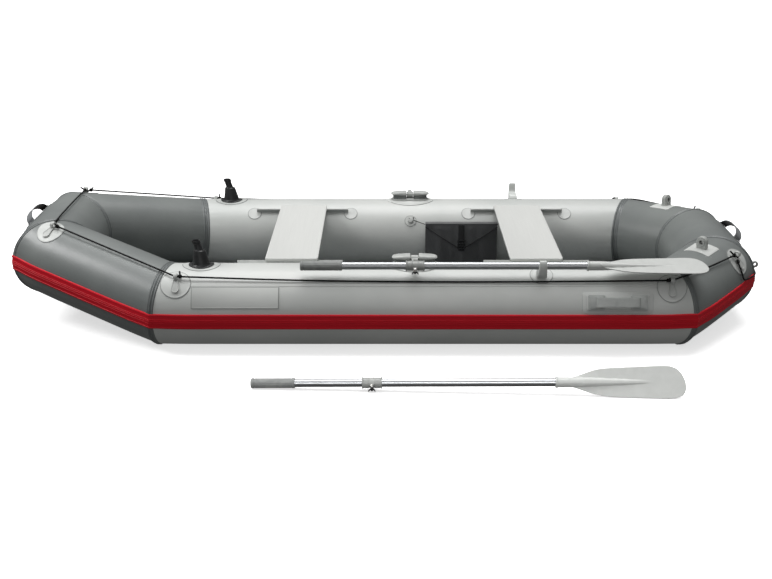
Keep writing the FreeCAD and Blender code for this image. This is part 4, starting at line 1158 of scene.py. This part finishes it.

# %% [markdown]
# An oarlock is a moulded spool on a thin oval plate: a ribbed waist, its darker grey painted shade under
# the heads, and two wedge-shaped heads that are thick beside the slot and run out thin fore and aft.
# The lug hinges in the slot between them. The spool is an oval cylinder squeezed from a round one, and
# the slot is cut with two planes.

# %% Oarlocks
SLOT_HALF = 0.016
HEAD_HALF_LENGTH = 0.084
HEAD_MIDDLE = 0.030
SPOOL_OVAL = Matrix.Diagonal((1, 0.30, 1, 1))
HEAD_PATH = [(0, 26.2), (79, 26.2), (83.6, 29), (84, 32.5), (81.5, 36.2), (74, 38.7), (0, 38.7)]
WAIST_PATH = [(0, 4), (71, 4), (71, 11), (75, 12.5), (75, 15), (70, 16.5), (70, 19), (75, 20.5), (75, 23.5),
              (68, 25.5), (68, 29), (0, 29)]
FOOT_PATH = [(0, 2.2), (82, 2.2), (84, 4), (83, 7.5), (78, 9.5), (71, 10), (71, 10.4), (0, 10.4)]


def blunt(co):
    """A circle with fuller shoulders, so that the squeezed oval has the mouldings' blunt ends."""
    ring = sqrt(co.x ** 2 + co.y ** 2)
    if ring < 1e-6:
        return co
    full = ring * (1 - min(1.0, abs(co.x) / ring) ** 4) ** 0.25
    return Vector((co.x, full if co.y > 0 else -full, co.z))


def spool(name, path, side=0):
    """A spool squeezed to an oval; with a side, only its half beyond the slot, the cut closed."""
    piece = turned(name, path, 96)
    shape(piece, blunt)
    place(piece, SPOOL_OVAL)
    if side:
        slice_off(piece, (side * SLOT_HALF, 0, 0), (-side, 0, 0), fill=True)
    return piece


def wedge(co):
    """The heads get thinner towards their ends, from above and below."""
    share = max(0.0, (abs(co.x) - SLOT_HALF) / (HEAD_HALF_LENGTH - SLOT_HALF))
    return Vector((co.x, co.y, HEAD_MIDDLE + (co.z - HEAD_MIDDLE) * (1 - 0.30 * share)))


bases, heads, waists, feet = [], [], [], []
for tube in SIDES.values():
    on_top = tube.spot(tube.along(LOCK_X), 0)
    lock_base = disc("lock_base", 0.058, 0.003, 96, length=0.206)
    rim(lock_base, 0.005, 0.0012)
    bases.append(glue(lock_base, tube, tube.along(LOCK_X), 0))
    for side in (-1, 1):
        head = spool("lock_head", HEAD_PATH, side)
        shape(head, wedge)
        bevel(head, 0.0016, 3, 45)
        heads.append(place(head, on_top))
        waists.append(place(spool("lock_waist", WAIST_PATH, side), on_top))
    feet.append(place(spool("lock_foot", FOOT_PATH), on_top))
whole(bases, "oarlock_plates", 35, patch_cloth, "lock_plastic", "oarlock_bases")
# the waists' darker grey is painted shade under the heads
whole(waists, "oarlock_waists", 40, waist_shade_pvc, "lock_plastic", "oarlock_blocks")
whole(heads + feet, "oarlock_heads", 40, soft_pvc, "lock_plastic", "oarlock_blocks")

# %% [markdown]
# The lug is a hooded knuckle on the hinge pin with a tapering tongue, and an eye that the oar's bolt
# goes through. Hood and tongue are outlines with soft edges; the knuckle and the eye are turned.

# %% Oarlock lugs
HINGE_RISE, LUG_REACH = 0.0244, 62
HOOD_TURN = Matrix(((0, 0, 1, 0), (-1, 0, 0, 0), (0, 1, 0, 0), (0, 0, 0, 1)))
for side, tube in SIDES.items():
    knuckle = turned("knuckle", mirrored([(0, -14.3), (9, -14.3), (10.4, -13)]), 36)
    place(knuckle, ALONG)
    hood = outlined("hood", [(0, 0)] + arc(13, -10, 100, 14), 28.6, -14.3)
    bevel(hood, 0.0016, 3, 50)
    place(hood, HOOD_TURN)
    tongue = outlined("tongue", both_sides([(-13.5, 2), (-13.5, -8), (-8, -LUG_REACH)]), 11, -5.5)
    bevel(tongue, 0.0022, 3, 50)
    eye = turned("lug_eye", closed([(4.1, -6), (7.2, -6), (8.2, -5)]), 36)
    place(eye, shift(0, -LUG_REACH * MM, 0))
    lug = side + "_lug"
    for piece in (knuckle, hood, tongue, eye):
        place(piece, tube.spot(tube.along(LOCK_X), 0, HINGE_RISE))
    whole([knuckle, hood, tongue, eye], lug, 40, lock_pvc, "lug_plastic", side + "_oarlock_lug", body=lug)
finish_nodes(stainless, "oarlock_pins")
print("lugs of", list(SIDES))

# %% [markdown]
# A keeper is a thick soft hook: a broad foot on its round patch, a saddle that the shaft rests
# over, and a tall finger outboard whose tip leans in over the shaft. Its section is extruded along
# the tube, the finger is drawn narrower towards its tip, and every edge is rounded well.

# %% Oar keepers
KEEPER_SECTION = [(-16, -4), (-22.5, 10), (-27.5, 25), (-29.5, 40), (-28.8, 52), (-24.5, 64),
                  (-17.5, 74.5), (-11.5, 79.5), (-6, 79.5), (-3.5, 76), (-6, 69), (-10, 61.2), (-14, 53.5),
                  (-15.3, 47), (-13, 38.2), (-7, 31.5), (0, 28), (9, 23.4), (17, 18.6), (21, 8), (22, -4)]
UPRIGHT = Matrix(((0, 0, 1, 0), (1, 0, 0, 0), (0, 1, 0, 0), (0, 0, 0, 1)))


def rounded_hook(co):
    """Narrower towards the tip of the finger, and a little wider at the foot."""
    share = max(0.0, min(1.0, (co.z - 0.014) / 0.060))
    return Vector((co.x * (0.98 - 0.22 * share), co.y, co.z))


keepers = []
for tube in SIDES.values():
    hook = outlined("hook", KEEPER_SECTION, 36, -18)
    place(hook, UPRIGHT)
    slice_off(hook, (0, 0, 0.014), (0, 0, 1), clear=False)
    shape(hook, rounded_hook)
    bevel(hook, 0.0062, 5, 60)
    keepers.append(place(hook, tube.spot(tube.along(KEEPER_X), KEEPER_LEAN)))
whole(keepers, "oar_hooks", 60, keeper_pvc, "lug_plastic", "oar_keepers")

# %% [markdown]
# A rod holder is a black cone with a shoulder, and a socket that rises from it, leaning to the bow,
# with a rim at its mouth. Its profile is turned upright, with the bore taken down inside it, and
# then leaned: little in the cone, more in the neck. An oval flange joins it to its pale patch.

# %% Rod holders
ROD_PATH = [(0, 0), (37.5, 0), (36.5, 3), (33, 6), (31.5, 12), (22.5, 54), (21.5, 56), (17.2, 57.5),
            (15, 60.5), (14, 82), (15.2, 83.2), (15.6, 85), (15.6, 93.5), (14.8, 95), (12.5, 95),
            (11.4, 93.5), (11, 90), (11, 19.5), (0, 19)]


def leaned(co):
    """Little lean in the cone, more in the neck."""
    bend = 0.06 * co.z + 0.24 * max(0.0, co.z - 0.046)
    return Vector((co.x - bend, co.y, co.z))


holders = []
for tube in SIDES.values():
    body = turned("rod_body", ROD_PATH, 56)
    shape(body, leaned)
    place(body, Matrix.Translation(Vector((ROD_X, tube.start.y, AXIS_HEIGHT + TUBE_RADIUS))))
    flange = disc("rod_flange", 0.039, 0.0032, 64, length=0.094)
    shape(flange, lambda co: Vector((co.x, co.y, co.z + (0.0014 if co.z > 0.001 else 0))))
    holders += [body, glue(flange, tube, tube.along(ROD_X), 0)]
whole(holders, "rod_sockets", 35, black_pvc, "holder_rubber", "rod_holders")

# %% [markdown]
# The motor bracket's lugs and the small stern eyes are arches with a hole along the tube and a raised
# boss round the hole on each face. The outline is extruded, the hole is drilled, and a turned ring
# makes the bosses.

# %% Eyes of the stern
def arched_eye(tube, reach, lean, width, rise, depth, bore, boss):
    """An arch across the tube with a bossed hole through it, its sizes in millimetres."""
    half = width / 2
    outline = [(-half, -5), *arc(half, 180, 0, 24, (0, rise)), (half, -5)]
    hoop = outlined("hoop", outline, depth - 2 * boss, boss - depth / 2)
    place(hoop, UPRIGHT)
    middle = shift(0, 0, rise * MM) @ ALONG
    drill(hoop, bore * MM, middle)
    bevel(hoop, 0.08 * width * MM, 3, 50)
    ring_out, end = bore + 0.45 * (half - bore), -depth / 2
    ring = turned("boss", closed([(bore, end), (ring_out - 1, end), (ring_out, end + 1)]), 40)
    place(ring, middle)
    return place(join([hoop, ring], "arched_eye"), tube.spot(reach, lean))


EYE_LEAN, EYE_SPAN = 77, 0.200
motor_eyes = [arched_eye(*spot, 42, 26, 26, 8.5, 3) for spot in MOTOR_SPOTS]
whole(motor_eyes, "motor_eyes", 40, lock_pvc, "lock_plastic", "motor_lugs")
tow_eyes = [arched_eye(STERN, STERN.length / 2 + way * EYE_SPAN, EYE_LEAN, 26, 12, 10, 6, 1)
            for way in (-1, 1)]
whole(tow_eyes, "tow_eyes", 40, lock_pvc, "lug_plastic", "stern_eyes")

# %% [markdown]
# Both oars are alike, so each of their pieces is modelled once, lying along X with the middle of the
# collar at the origin, and copied to its two places. The port oar hangs on its lug; the spare lies on
# the floor on its grip and the edge of its blade, rolled, with its collar turned on the shaft.

# %% Places of the two oars
oar_line = shift(LOCK_X, -0.5763, 0.3310)
spare_heading = turn("Z", -2.85) @ turn((0, -1, 0), 1.38)
spare_line = shift(-0.043, -0.955, 0.0284) @ spare_heading
spare_roll = spare_line @ turn("X", 49)
spare_collar_roll = spare_line @ turn("X", -15)


def both_oars(piece, name, angle, finish, record_slot, spare_place=spare_roll):
    """Smooth a piece and give one to each oar, each with its own mesh."""
    smooth(piece, angle)
    spare = copy_of(piece, "spare_" + name)
    piece.name = piece.data.name = "port_" + name
    for thing, body, matrix, node in ((piece, "port_oar", oar_line, "port_oar_"),
                                      (spare, "spare_oar", spare_place, "spare_oar_")):
        dress(place(thing, matrix), finish, body, record_slot, node + name)
    spare_oar_set.objects.link(spare)


finish_nodes(satin_aluminium, "port_oar_shaft", "spare_oar_shaft")
spare_oar_set.objects.link(nodes["spare_oar_shaft"])

# %% [markdown]
# The grip is a tube of foam rubber pushed on the shaft. It has flutes along its length for the
# fingers, a plain ring at each end and a rounded, closed outer end. The profile is turned, and the
# flutes are pressed into it by angle.

# %% Oar grips
GRIP_START, GRIP_END, END_RING = -0.419, -0.266, 0.013


def gripped(co):
    """The flutes of the grip stop at its end rings."""
    between = GRIP_START + END_RING < co.z < GRIP_END - END_RING
    return fluted(co, 0.0160, 0.0008, 18, 0.7) if between else co


grip = turned("grip", [(0, -419), (14, -419), (16.5, -418), (17.5, -415.5), (17.5, -409), (16.3, -408),
                       (16.3, -406.6), (17.2, -405), (17.2, -340), (17.2, -280), (16.3, -278.4),
                       (16.3, -277), (17.8, -276), (17.8, -267.8), (16.8, -266.4), (14.2, -266),
                       (14.2, -405), (0, -405)], 144)
shape(grip, gripped)
both_oars(place(grip, ALONG), "grip", 40, grip_foam, "oar_moulding")
print("grips", len(grip.data.polygons), "faces")

# %% [markdown]
# The collar is a nylon clamp: two flanged rings with a waist between them, and a pair of ears that the
# lug's eye goes in. A ball-headed bolt closes it on the shaft, a wing nut holds that bolt, and an
# upright bolt through the ears is the oar's own pivot.

# %% Collars and bolts
COLLAR_RING = [(14.1, -34), (19.6, -34), (20.3, -33), (20.3, -31.2), (18.6, -30.2), (17.9, -28.8),
               (18.4, -20), (18.4, -10.5), (17.6, -9.4), (16.9, -8.8)]
collar = turned("collar", closed(COLLAR_RING), 64)
place(collar, ALONG)
ears = []
for low in (-11, 7):
    ear = outlined("ear", [(-8, 15), *arc(8, 180, 0, 16, (0, 30)), (8, 15)], 4, low)
    bevel(ear, 0.0008, 2, 50)
    ears.append(ear)
strap_gap = plaque("clamp_lips", 0.016, 0.010, 0.0035, 0.002)
place(strap_gap, turn("X", 110) @ shift(0, 0, 0.0172))
whole_collar = join([collar, *ears, strap_gap], "collar")
both_oars(whole_collar, "collar", 40, collar_nylon, "oar_moulding", spare_collar_roll)

BOLT_LEAN, NUT_LEAN = 110, 150
pivot = turned("pivot", [(0, -15), (5.2, -15), (6, -14.2), (6, -12), (4, -12), (4, 12), (6, 12), (6, 13.6),
                         (4.5, 15), (0, 15.1)], 32)
place(pivot, shift(0, 0.030, 0))
knob = turned("knob", [(0, 16.5), (3.8, 16.5), (4, 18.8), *arc(7.5, -55, 89, 12, (0, 25)), (0, 32.5)], 36)
place(knob, turn("X", BOLT_LEAN))
hub = turned("hub", [(0, 18), (6.2, 18), (5.8, 20), (4.2, 25.5), (3.8, 29.5), (3, 30), (0, 30)], 32)
half_wing = [(2, 21), (7, 22), (11.5, 26.2), (13, 31.5), (12.2, 33), (10, 32.5), (7, 28.5), (3, 26.2)]
wings = outlined("wings", both_sides(half_wing), 3, -1.5)
bevel(wings, 0.0009, 2, 50)
place(wings, turn("X", 90))
nut = join([hub, wings], "nut")
place(nut, turn("X", NUT_LEAN))
both_oars(join([pivot, knob], "bolts"), "bolts", 40, stainless, "bolt_steel", spare_collar_roll)
spare_nut = copy_of(nut, "spare_wing_nut")
nut.name = nut.data.name = "port_wing_nut"
for thing, body, matrix in ((nut, "port_oar", oar_line), (spare_nut, "spare_oar", spare_collar_roll)):
    smooth(thing, 40)
    dress(place(thing, matrix), dark_zinc, body, "bolt_steel")

# %% [markdown]
# A blade is one moulding of polypropylene: a round socket with a ring at its mouth, a flat blade with
# a slanting round end and a soft bead round its edge, and a rib that starts as wide as the socket and
# dies away. The outline is extruded, cut into a fine net, and the rib is raised on both faces of it.

# %% Oar blades
BLADE_START, BLADE_FOOT, RIB_END = 0.626, 0.045, 0.362
NET_ROW, NET_COLUMN = 0.0020, 0.0064
BLADE_EDGE = [(45, 13.5), (62, 17.5), (86, 26), (104, 32.5), (119, 37.5), (132, 41.5), (145, 44.2),
              (162, 46.5), (185, 48.2), (250, 51), (315, 53.5), (350, 55), (370, 55.2), (388, 53.5),
              (403, 48.5), (415, 40.5), (425, 29), (432, 16), (437.5, 2), (440, -14), (439, -27),
              (435, -37.5), (428, -46), (417, -52.2), (402, -56), (380, -57.4), (340, -56), (275, -54),
              (220, -52), (190, -50.3), (173, -48.8), (156, -46.5), (140, -43), (122, -38.5), (105, -33),
              (86, -26.2), (66, -19.5), (45, -13.5)]
BLADE_HALF = 0.0021


def raised_rib(co):
    """The rib over the blade's middle, raised on both of its faces."""
    share = min(1.0, max(0.0, (co.x - BLADE_FOOT) / (RIB_END - BLADE_FOOT)))
    crest = 0.0165 * (1 - share) ** 0.9
    across = min(1.0, abs(co.y) / (0.002 + crest))
    rise = max(0.0, crest - BLADE_HALF) * sqrt(1 - across ** 2)
    side = 1 if co.z > 0 else -1
    return Vector((co.x, co.y, co.z + side * rise))


blade = outlined("blade", BLADE_EDGE, 2 * BLADE_HALF / MM, -BLADE_HALF / MM)
bevel(blade, 0.0014, 2, 50)
slice_up(blade, NET_ROW, ROWS)
edit(blade)
for column in range(1, 62):
    bpy.ops.mesh.select_all(action="SELECT")
    bpy.ops.mesh.bisect(plane_co=(BLADE_FOOT + 0.0002 + column * NET_COLUMN, 0, 0), plane_no=(1, 0, 0))
done()
shape(blade, raised_rib)
mouth = turned("mouth", [(14.2, 0), (18.2, 0), (19, 0.9), (19, 6), (18.2, 7), (17.1, 7.4), (16.9, 45),
                         (16.3, 68), (14.8, 86), (12, 100), (6, 108), (0, 110), (0, 52), (14.2, 52),
                         (14.2, 0)], 48)
place(mouth, ALONG)
whole_blade = join([blade, mouth], "whole_blade")
place(whole_blade, shift(BLADE_START, 0, 0) @ turn("X", 13))
both_oars(whole_blade, "blade", 50, blade_pp, "blade_plastic")
print("blades", len(whole_blade.data.polygons), "faces")

# %% [markdown]
# The four strap handles are flat bands that leave the hull in an arch. A grid is laid along the arch,
# its width runs across the tube, and Solidify gives it its thickness. The grab handles at the ends
# are thin grey webbing, their inner faces painted black as shade, sewn down on stepped plates; the
# carrying handles at the sides are a thick moulded bar on two stepped feet.

# %% Strap handles
TAB_SHARE = 0.08


def arch(name, half, tab, fullness, rise, low, width, thick, rows=8):
    """A band along X in an arch from low to rise, round at fullness 2 and squarer above, with tabs."""
    piece = begin(name, bpy.ops.mesh.primitive_grid_add, size=1, x_subdivisions=72, y_subdivisions=rows)

    def lay(co):
        """A grid's point on the arch, or on one of its flat tabs."""
        way = 1 if co.x > 0 else -1
        share = abs(2 * co.x) / (1 - TAB_SHARE)
        if share > 1:
            return Vector((way * (half + tab * (share - 1) * (1 - TAB_SHARE) / TAB_SHARE), co.y * width, low))
        angle = share * pi / 2
        x = half * max(0.0, sin(angle)) ** (2 / fullness)
        return Vector((way * x, co.y * width, low + (rise - low) * max(0.0, cos(angle)) ** (2 / fullness)))

    shape(piece, lay)
    modify(piece, "SOLIDIFY", thickness=thick, offset=-1)
    return piece


def shade_inner_faces(piece, inside, tube):
    """Give the faces that look back at the tube another, black finish: painted shade."""
    piece.data.materials.append(inside)
    for face in piece.data.polygons:
        foot = tube.start + tube.axis * (face.center - tube.start).dot(tube.axis)
        if face.normal.dot(face.center - foot) < 0:
            face.material_index = 1


grab_plates = []
for tube, name in ((BOW, "bow_grab_strap"), (STERN, "stern_grab_strap")):
    middle = tube.length / 2
    strap = arch(name, 0.105, 0.010, 2.0, 0.036, 0.0052, 0.032, 0.0030)
    bevel(strap, 0.0008, 2, 50)
    place(strap, tube.spot(middle, GRAB_LEAN))
    smooth(strap, 50)
    dress(strap, grey_webbing, "hull", "handle_webbing")
    # the inner faces are painted black as shade
    shade_inner_faces(strap, black_webbing_and_shade, tube)
    plate = plaque("grab_plate", 0.270, 0.058, 0.0015, 0.010)
    rim(plate, 0.005, 0.0010)
    grab_plates.append(glue(plate, tube, middle, GRAB_LEAN, 0.005))
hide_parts("grab_handles")
whole(grab_plates, "grab_plates", 35, band_cloth, "trim_fabric", "grab_handle_patches")

carriers = []
for tube in SIDES.values():
    spot = tube.spot(tube.along(CARRY_X), CARRY_LEAN)
    bar = arch("carry_bar", 0.080, 0.002, 5.0, 0.027, 0.008, 0.036, 0.005, 6)
    bevel(bar, 0.0016, 3, 50)
    carriers.append(place(bar, spot))
    for way in (-1, 1):
        for length, width, height, low in ((0.062, 0.056, 0.0040, 0.0030), (0.048, 0.045, 0.0050, 0.0066)):
            foot = plaque("carry_foot", length, width, height, 0.005, 0.0012)
            carriers.append(place(foot, spot @ shift(way * 0.078, 0, low)))
whole(carriers, "carry_bars", 40, handle_pvc, "handle_rubber", "carry_handles")

# %% [markdown]
# The side pouch is a soft nylon envelope. Its body is an open-topped shell that is fuller below and
# drawn in at its mouth, with a few upright folds. The flap is one sheet: it lies over the mouth and
# hangs down the front to a blunt point, so its outline is a V. Both are shaped by the same front, so
# that the flap follows the body's folds; piping runs along the V, and a strap with a ladder buckle
# closes it.

# %% Pouch body
POUCH_HALF, POUCH_BACK, POUCH_FRONT = 0.1555, 0.331, 0.304
POUCH_FOOT, POUCH_TOP = 0.052, 0.246


def front_swell(x, z):
    """How far the front stands out, towards the boat's middle, at a place on it."""
    across, up = (x - POUCH_X) / POUCH_HALF, (z - POUCH_FOOT) / (POUCH_TOP - POUCH_FOOT)
    full = max(0.0, 1 - across ** 4) * sin(pi * min(1.0, max(0.0, up)) ** 0.8) ** 0.7 if 0 < up < 1 else 0.0
    creases = 0.0022 * sin(9.5 * across + 0.8) + 0.0014 * sin(21 * across + 2.6 * up)
    wander = 0.0030 * noise.noise(Vector((x * 14, 0, z * 9)))
    return 0.0070 * full + (creases + wander) * max(0.0, 1 - across ** 6) * (0.35 + 0.65 * full)


body = begin("pouch_body_shell", bpy.ops.mesh.primitive_cube_add, size=1)
edit(body, "EDGE", everything=True)
bpy.ops.mesh.subdivide(number_cuts=31)
pick(body, lambda face: face.normal.z > 0.9)
bpy.ops.mesh.delete(type="FACE")
done()


def as_pouch(co):
    """Box to bag: the front swells, the side walls draw in, the bottom corners round off."""
    x = POUCH_X + 2 * co.x * POUCH_HALF
    z = POUCH_FOOT + (co.z + 0.5) * (POUCH_TOP - POUCH_FOOT)
    y = POUCH_BACK + (co.y - 0.5) * (POUCH_BACK - POUCH_FRONT)
    toward = 0.5 - co.y
    y -= toward * front_swell(x, z)
    waist = (1 - (2 * co.z) ** 2) * (1 - (2 * co.y) ** 2)
    x -= 0.004 * waist * (1 if co.x > 0 else -1) * (abs(co.x) > 0.49)
    corner = max(0.0, abs(2 * co.x) - 0.9) * max(0.0, -2 * co.z - 0.86)
    return Vector((x - corner * 0.25 * (1 if co.x > 0 else -1), y + toward * corner * 0.2, z + corner * 0.25))


shape(body, as_pouch)
modify(body, "SOLIDIFY", thickness=0.0015, offset=-1)
whole([body], "pouch_body_shell", 60, pouch_nylon, "pouch_cloth", "pouch_body")

# %% Pouch flap, piping and buckle
FLAP_DROP, FLAP_SHOULDER, FLAP_POINT, FLAP_LIFT = 0.107, 0.014, 0.014, 0.0022
FLAP_LID = POUCH_TOP + 0.0008


def flap_limit(x):
    """How far down the flap hangs at a place along the pouch."""
    share = min(1.0, max(0.0, (POUCH_HALF - abs(x - POUCH_X)) / (POUCH_HALF - FLAP_POINT)))
    return FLAP_SHOULDER + (FLAP_DROP - FLAP_SHOULDER) * share


def flap_place(x, drop):
    """A place on the flap's inner face: a drop below zero is on the lid, towards its hinge."""
    if drop < 0:
        return Vector((x, POUCH_FRONT - FLAP_LIFT - drop, FLAP_LID))
    z = FLAP_LID - drop
    return Vector((x, POUCH_FRONT - FLAP_LIFT - front_swell(x, min(z, POUCH_TOP)) * min(1.0, drop / 0.02), z))


LID_DEPTH = POUCH_BACK - POUCH_FRONT + FLAP_LIFT
FLAP_ROWS, LID_ROWS = 44, 8
LID_SHARE = LID_ROWS / FLAP_ROWS
flap = begin("pouch_flap_sheet", bpy.ops.mesh.primitive_grid_add, size=1, x_subdivisions=90,
             y_subdivisions=FLAP_ROWS)


def hang(co):
    """The first rows lie on the mouth, the rest hang down to the V."""
    x = POUCH_X + 2 * co.x * POUCH_HALF
    down = 0.5 - co.y
    if down <= LID_SHARE:
        return flap_place(x, -LID_DEPTH * (1 - down / LID_SHARE))
    return flap_place(x, flap_limit(x) * (down - LID_SHARE) / (1 - LID_SHARE))


shape(flap, hang)
modify(flap, "SOLIDIFY", thickness=0.0014, offset=1)
if sum(face.normal.y * face.area for face in flap.data.polygons if face.center.y < POUCH_FRONT - 0.004) > 0:
    outward_faces(flap)
whole([flap], "pouch_flap_sheet", 50, pouch_nylon, "pouch_cloth", "pouch_flap", body="pouch_flap")

edge_line = []
for step in range(41):
    x = POUCH_X - POUCH_HALF + 2 * POUCH_HALF * step / 40
    edge_line.append(flap_place(x, flap_limit(x)) + Vector((0, -0.0012, 0)))
piping_edge = spline_tube("flap_piping", edge_line, 0.0028, 4, 3)
work_on(piping_edge)
bpy.ops.object.convert(target="MESH")
whole([piping_edge], "flap_piping", 60, piping, "pouch_cloth", body="pouch_flap")

BUCKLE_Z = 0.159
buckle_y = POUCH_FRONT - FLAP_LIFT - front_swell(POUCH_X, BUCKLE_Z) - 0.0035
bars = []
for across in (-0.0150, 0.0150):
    rail = plaque("buckle_rail", 0.0042, 0.040, 0.0050, 0.0010, 0.0010)
    bars.append(place(rail, shift(across, 0, 0)))
for up in (-0.0180, -0.0070, 0.0045, 0.0180):
    bar = plaque("buckle_bar", 0.032, 0.0046, 0.0046, 0.0010, 0.0012)
    bars.append(place(bar, shift(0, up, 0.0008)))
buckle = whole(bars, "ladder_buckle", 40, acetal_black, "buckle_plastic", "pouch_buckle", body="pouch_flap")
place(buckle, shift(POUCH_X, buckle_y, BUCKLE_Z) @ turn("X", 90))
tape = begin("closing_strap", bpy.ops.mesh.primitive_grid_add, size=1, x_subdivisions=8, y_subdivisions=40)
STRAP_FOOT, STRAP_TOP = 0.128, 0.242


def down_front(co):
    """The strap follows the flap's front and slips under the buckle."""
    z = STRAP_FOOT + (co.y + 0.5) * (STRAP_TOP - STRAP_FOOT)
    x = POUCH_X + co.x * 0.026
    between = max(0.0, 1 - ((z - BUCKLE_Z) / 0.020) ** 2)
    swell = front_swell(x, z) if z > FLAP_LID - FLAP_DROP else front_swell(x, z) * 0.9
    return Vector((x, POUCH_FRONT - FLAP_LIFT - 0.0018 - swell - 0.0030 * between, z))


shape(tape, down_front)
modify(tape, "SOLIDIFY", thickness=0.0014, offset=1)
outward_faces(tape)
whole([tape], "closing_strap", 50, black_webbing_and_shade, "buckle_plastic", body="pouch_flap")

studs = []
for x in STUD_XS:
    stud = turned("stud", [(0, -1), (12.5, -1), (12.5, 2.2), (10.5, 3.8), (8.4, 5.5), (8, 8.5),
                           (8.8, 10.8), (11.2, 12.2), (12, 13.8), (11.2, 15.3), (8, 16.2), (0, 16.5)], 36)
    studs.append(place(stud, STARBOARD.spot(STARBOARD.along(x), STUD_LEAN)))
whole(studs, "pouch_studs", 45, soft_pvc, "lug_plastic", "pouch_lugs")

# %% [markdown]
# The benches are coated boards with eased edges and a fine groove round them; clips under their ends
# slide on rails that are welded to the tubes. The boards are made anew for their edges, while the
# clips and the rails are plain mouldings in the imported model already, so they only get a finish.

# %% Benches
BENCH_HEIGHT = 0.296
for name, x in (("fore_bench", FORE_BENCH_X), ("aft_bench", AFT_BENCH_X)):
    board = plaque(name + "_board", 0.200, 0.800, 0.009, 0.012, 0.0018)
    rim(board, 0.0055, -0.0003)
    place(board, shift(x, 0, BENCH_HEIGHT))
    shape(board, lambda co: Vector((co.x, co.y, max(co.z, BENCH_HEIGHT))))
    whole([board], board.name, 35, coated_board, "bench_board", name, body=name)
finish_nodes(lock_pvc, "fore_bench_clips", "aft_bench_clips", "bench_rails")

# %% [markdown]
# The floor is a drop-stitch air mat: two flat skins that threads hold apart, with round side walls.
# An outline is extruded and its upper and lower edges are beveled until the wall is nearly round. The
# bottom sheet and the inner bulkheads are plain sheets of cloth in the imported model, and keep them.

# %% Air floor, sheet and bulkheads
FLOOR_SIDE = [(-832, 348), (-785, 372), (1015, 372), (1078, 300)]
mat = outlined("air_mat", mirrored(FLOOR_SIDE), 38, 2)
bevel(mat, 0.0150, 5, 60)
edit(mat)
pick(mat, lambda face: face.normal.z > 0.99 and face.calc_center_median().z > 0.0398)
bpy.ops.mesh.inset(thickness=0.030)
bpy.ops.mesh.inset(thickness=0.002)
bpy.ops.transform.translate(value=(0, 0, -0.0008))
done()
whole([mat], "air_mat", 40, floor_cloth, "floor_fabric", "air_floor")
finish_nodes(band_cloth, "bottom_sheet")
finish_nodes(light_cloth, "bulkheads")

# %% [markdown]
# A screw valve has a welded flange, a short neck and a cap. The cap's skirt is fluted for the fingers,
# and a bar stands in its sunk top. All three valves are alike, so one loop makes them.

# %% Valves
VALVES = {"fore_valve_cap": PORT.spot(PORT.along(FORE_VALVE_X), VALVE_LEAN),
          "aft_valve_cap": PORT.spot(PORT.along(AFT_VALVE_X), VALVE_LEAN),
          "floor_valve_cap": shift(0.820, -0.250, 0.040)}
necks = []
for name, spot in VALVES.items():
    neck = turned("valve_neck", [(13, 0), (30, 0), (31, 0.8), (31, 2.2), (30, 3), (21.5, 3.4), (19, 4.8),
                                 (19, 12.2), (18.2, 13), (13, 13), (13, 0)], 56)
    necks.append(place(neck, spot))
    cap = turned("cap", [(0, 13.2), (19.75, 13.2), (19.75, 3.7), (23.4, 3.7), (24, 4.4), (24, 15.2),
                         (23.2, 16.8), (21.5, 17.4), (19, 17.2), (18, 15.8), (0, 15.6)], 96)
    shape(cap, lambda co: fluted(co, 0.0215, 0.0011, 12, 2))
    bar = plaque("cap_bar", 0.034, 0.0055, 0.0024, 0.0018, 0.0008)
    place(bar, shift(0, 0, 0.0152))
    cap = join([cap, bar], name + "_moulding")
    place(cap, spot)
    whole([cap], cap.name, 35, valve_nylon, "valve_plastic", name, body=name)
whole(necks, "valve_necks", 35, valve_nylon, "valve_plastic", "valve_bodies")

# %% [markdown]
# A tube is rolled from a flat panel, and its edges overlap along its length. That seam shows as a
# narrow step, high on each side tube. Each is a flat strip that is wrapped along the tube.

# %% Lengthwise seams
strips = []
for tube in SIDES.values():
    strip = plaque("seam_strip", tube.length - 0.05, 0.013, 0.0010, 0.002, 0.0004)
    slice_up(strip, 0.020, COLUMNS)
    strips.append(glue(strip, tube, tube.length / 2, 45, 0.0033))
whole(strips, "side_seams", 35, light_cloth, "side_fabric")
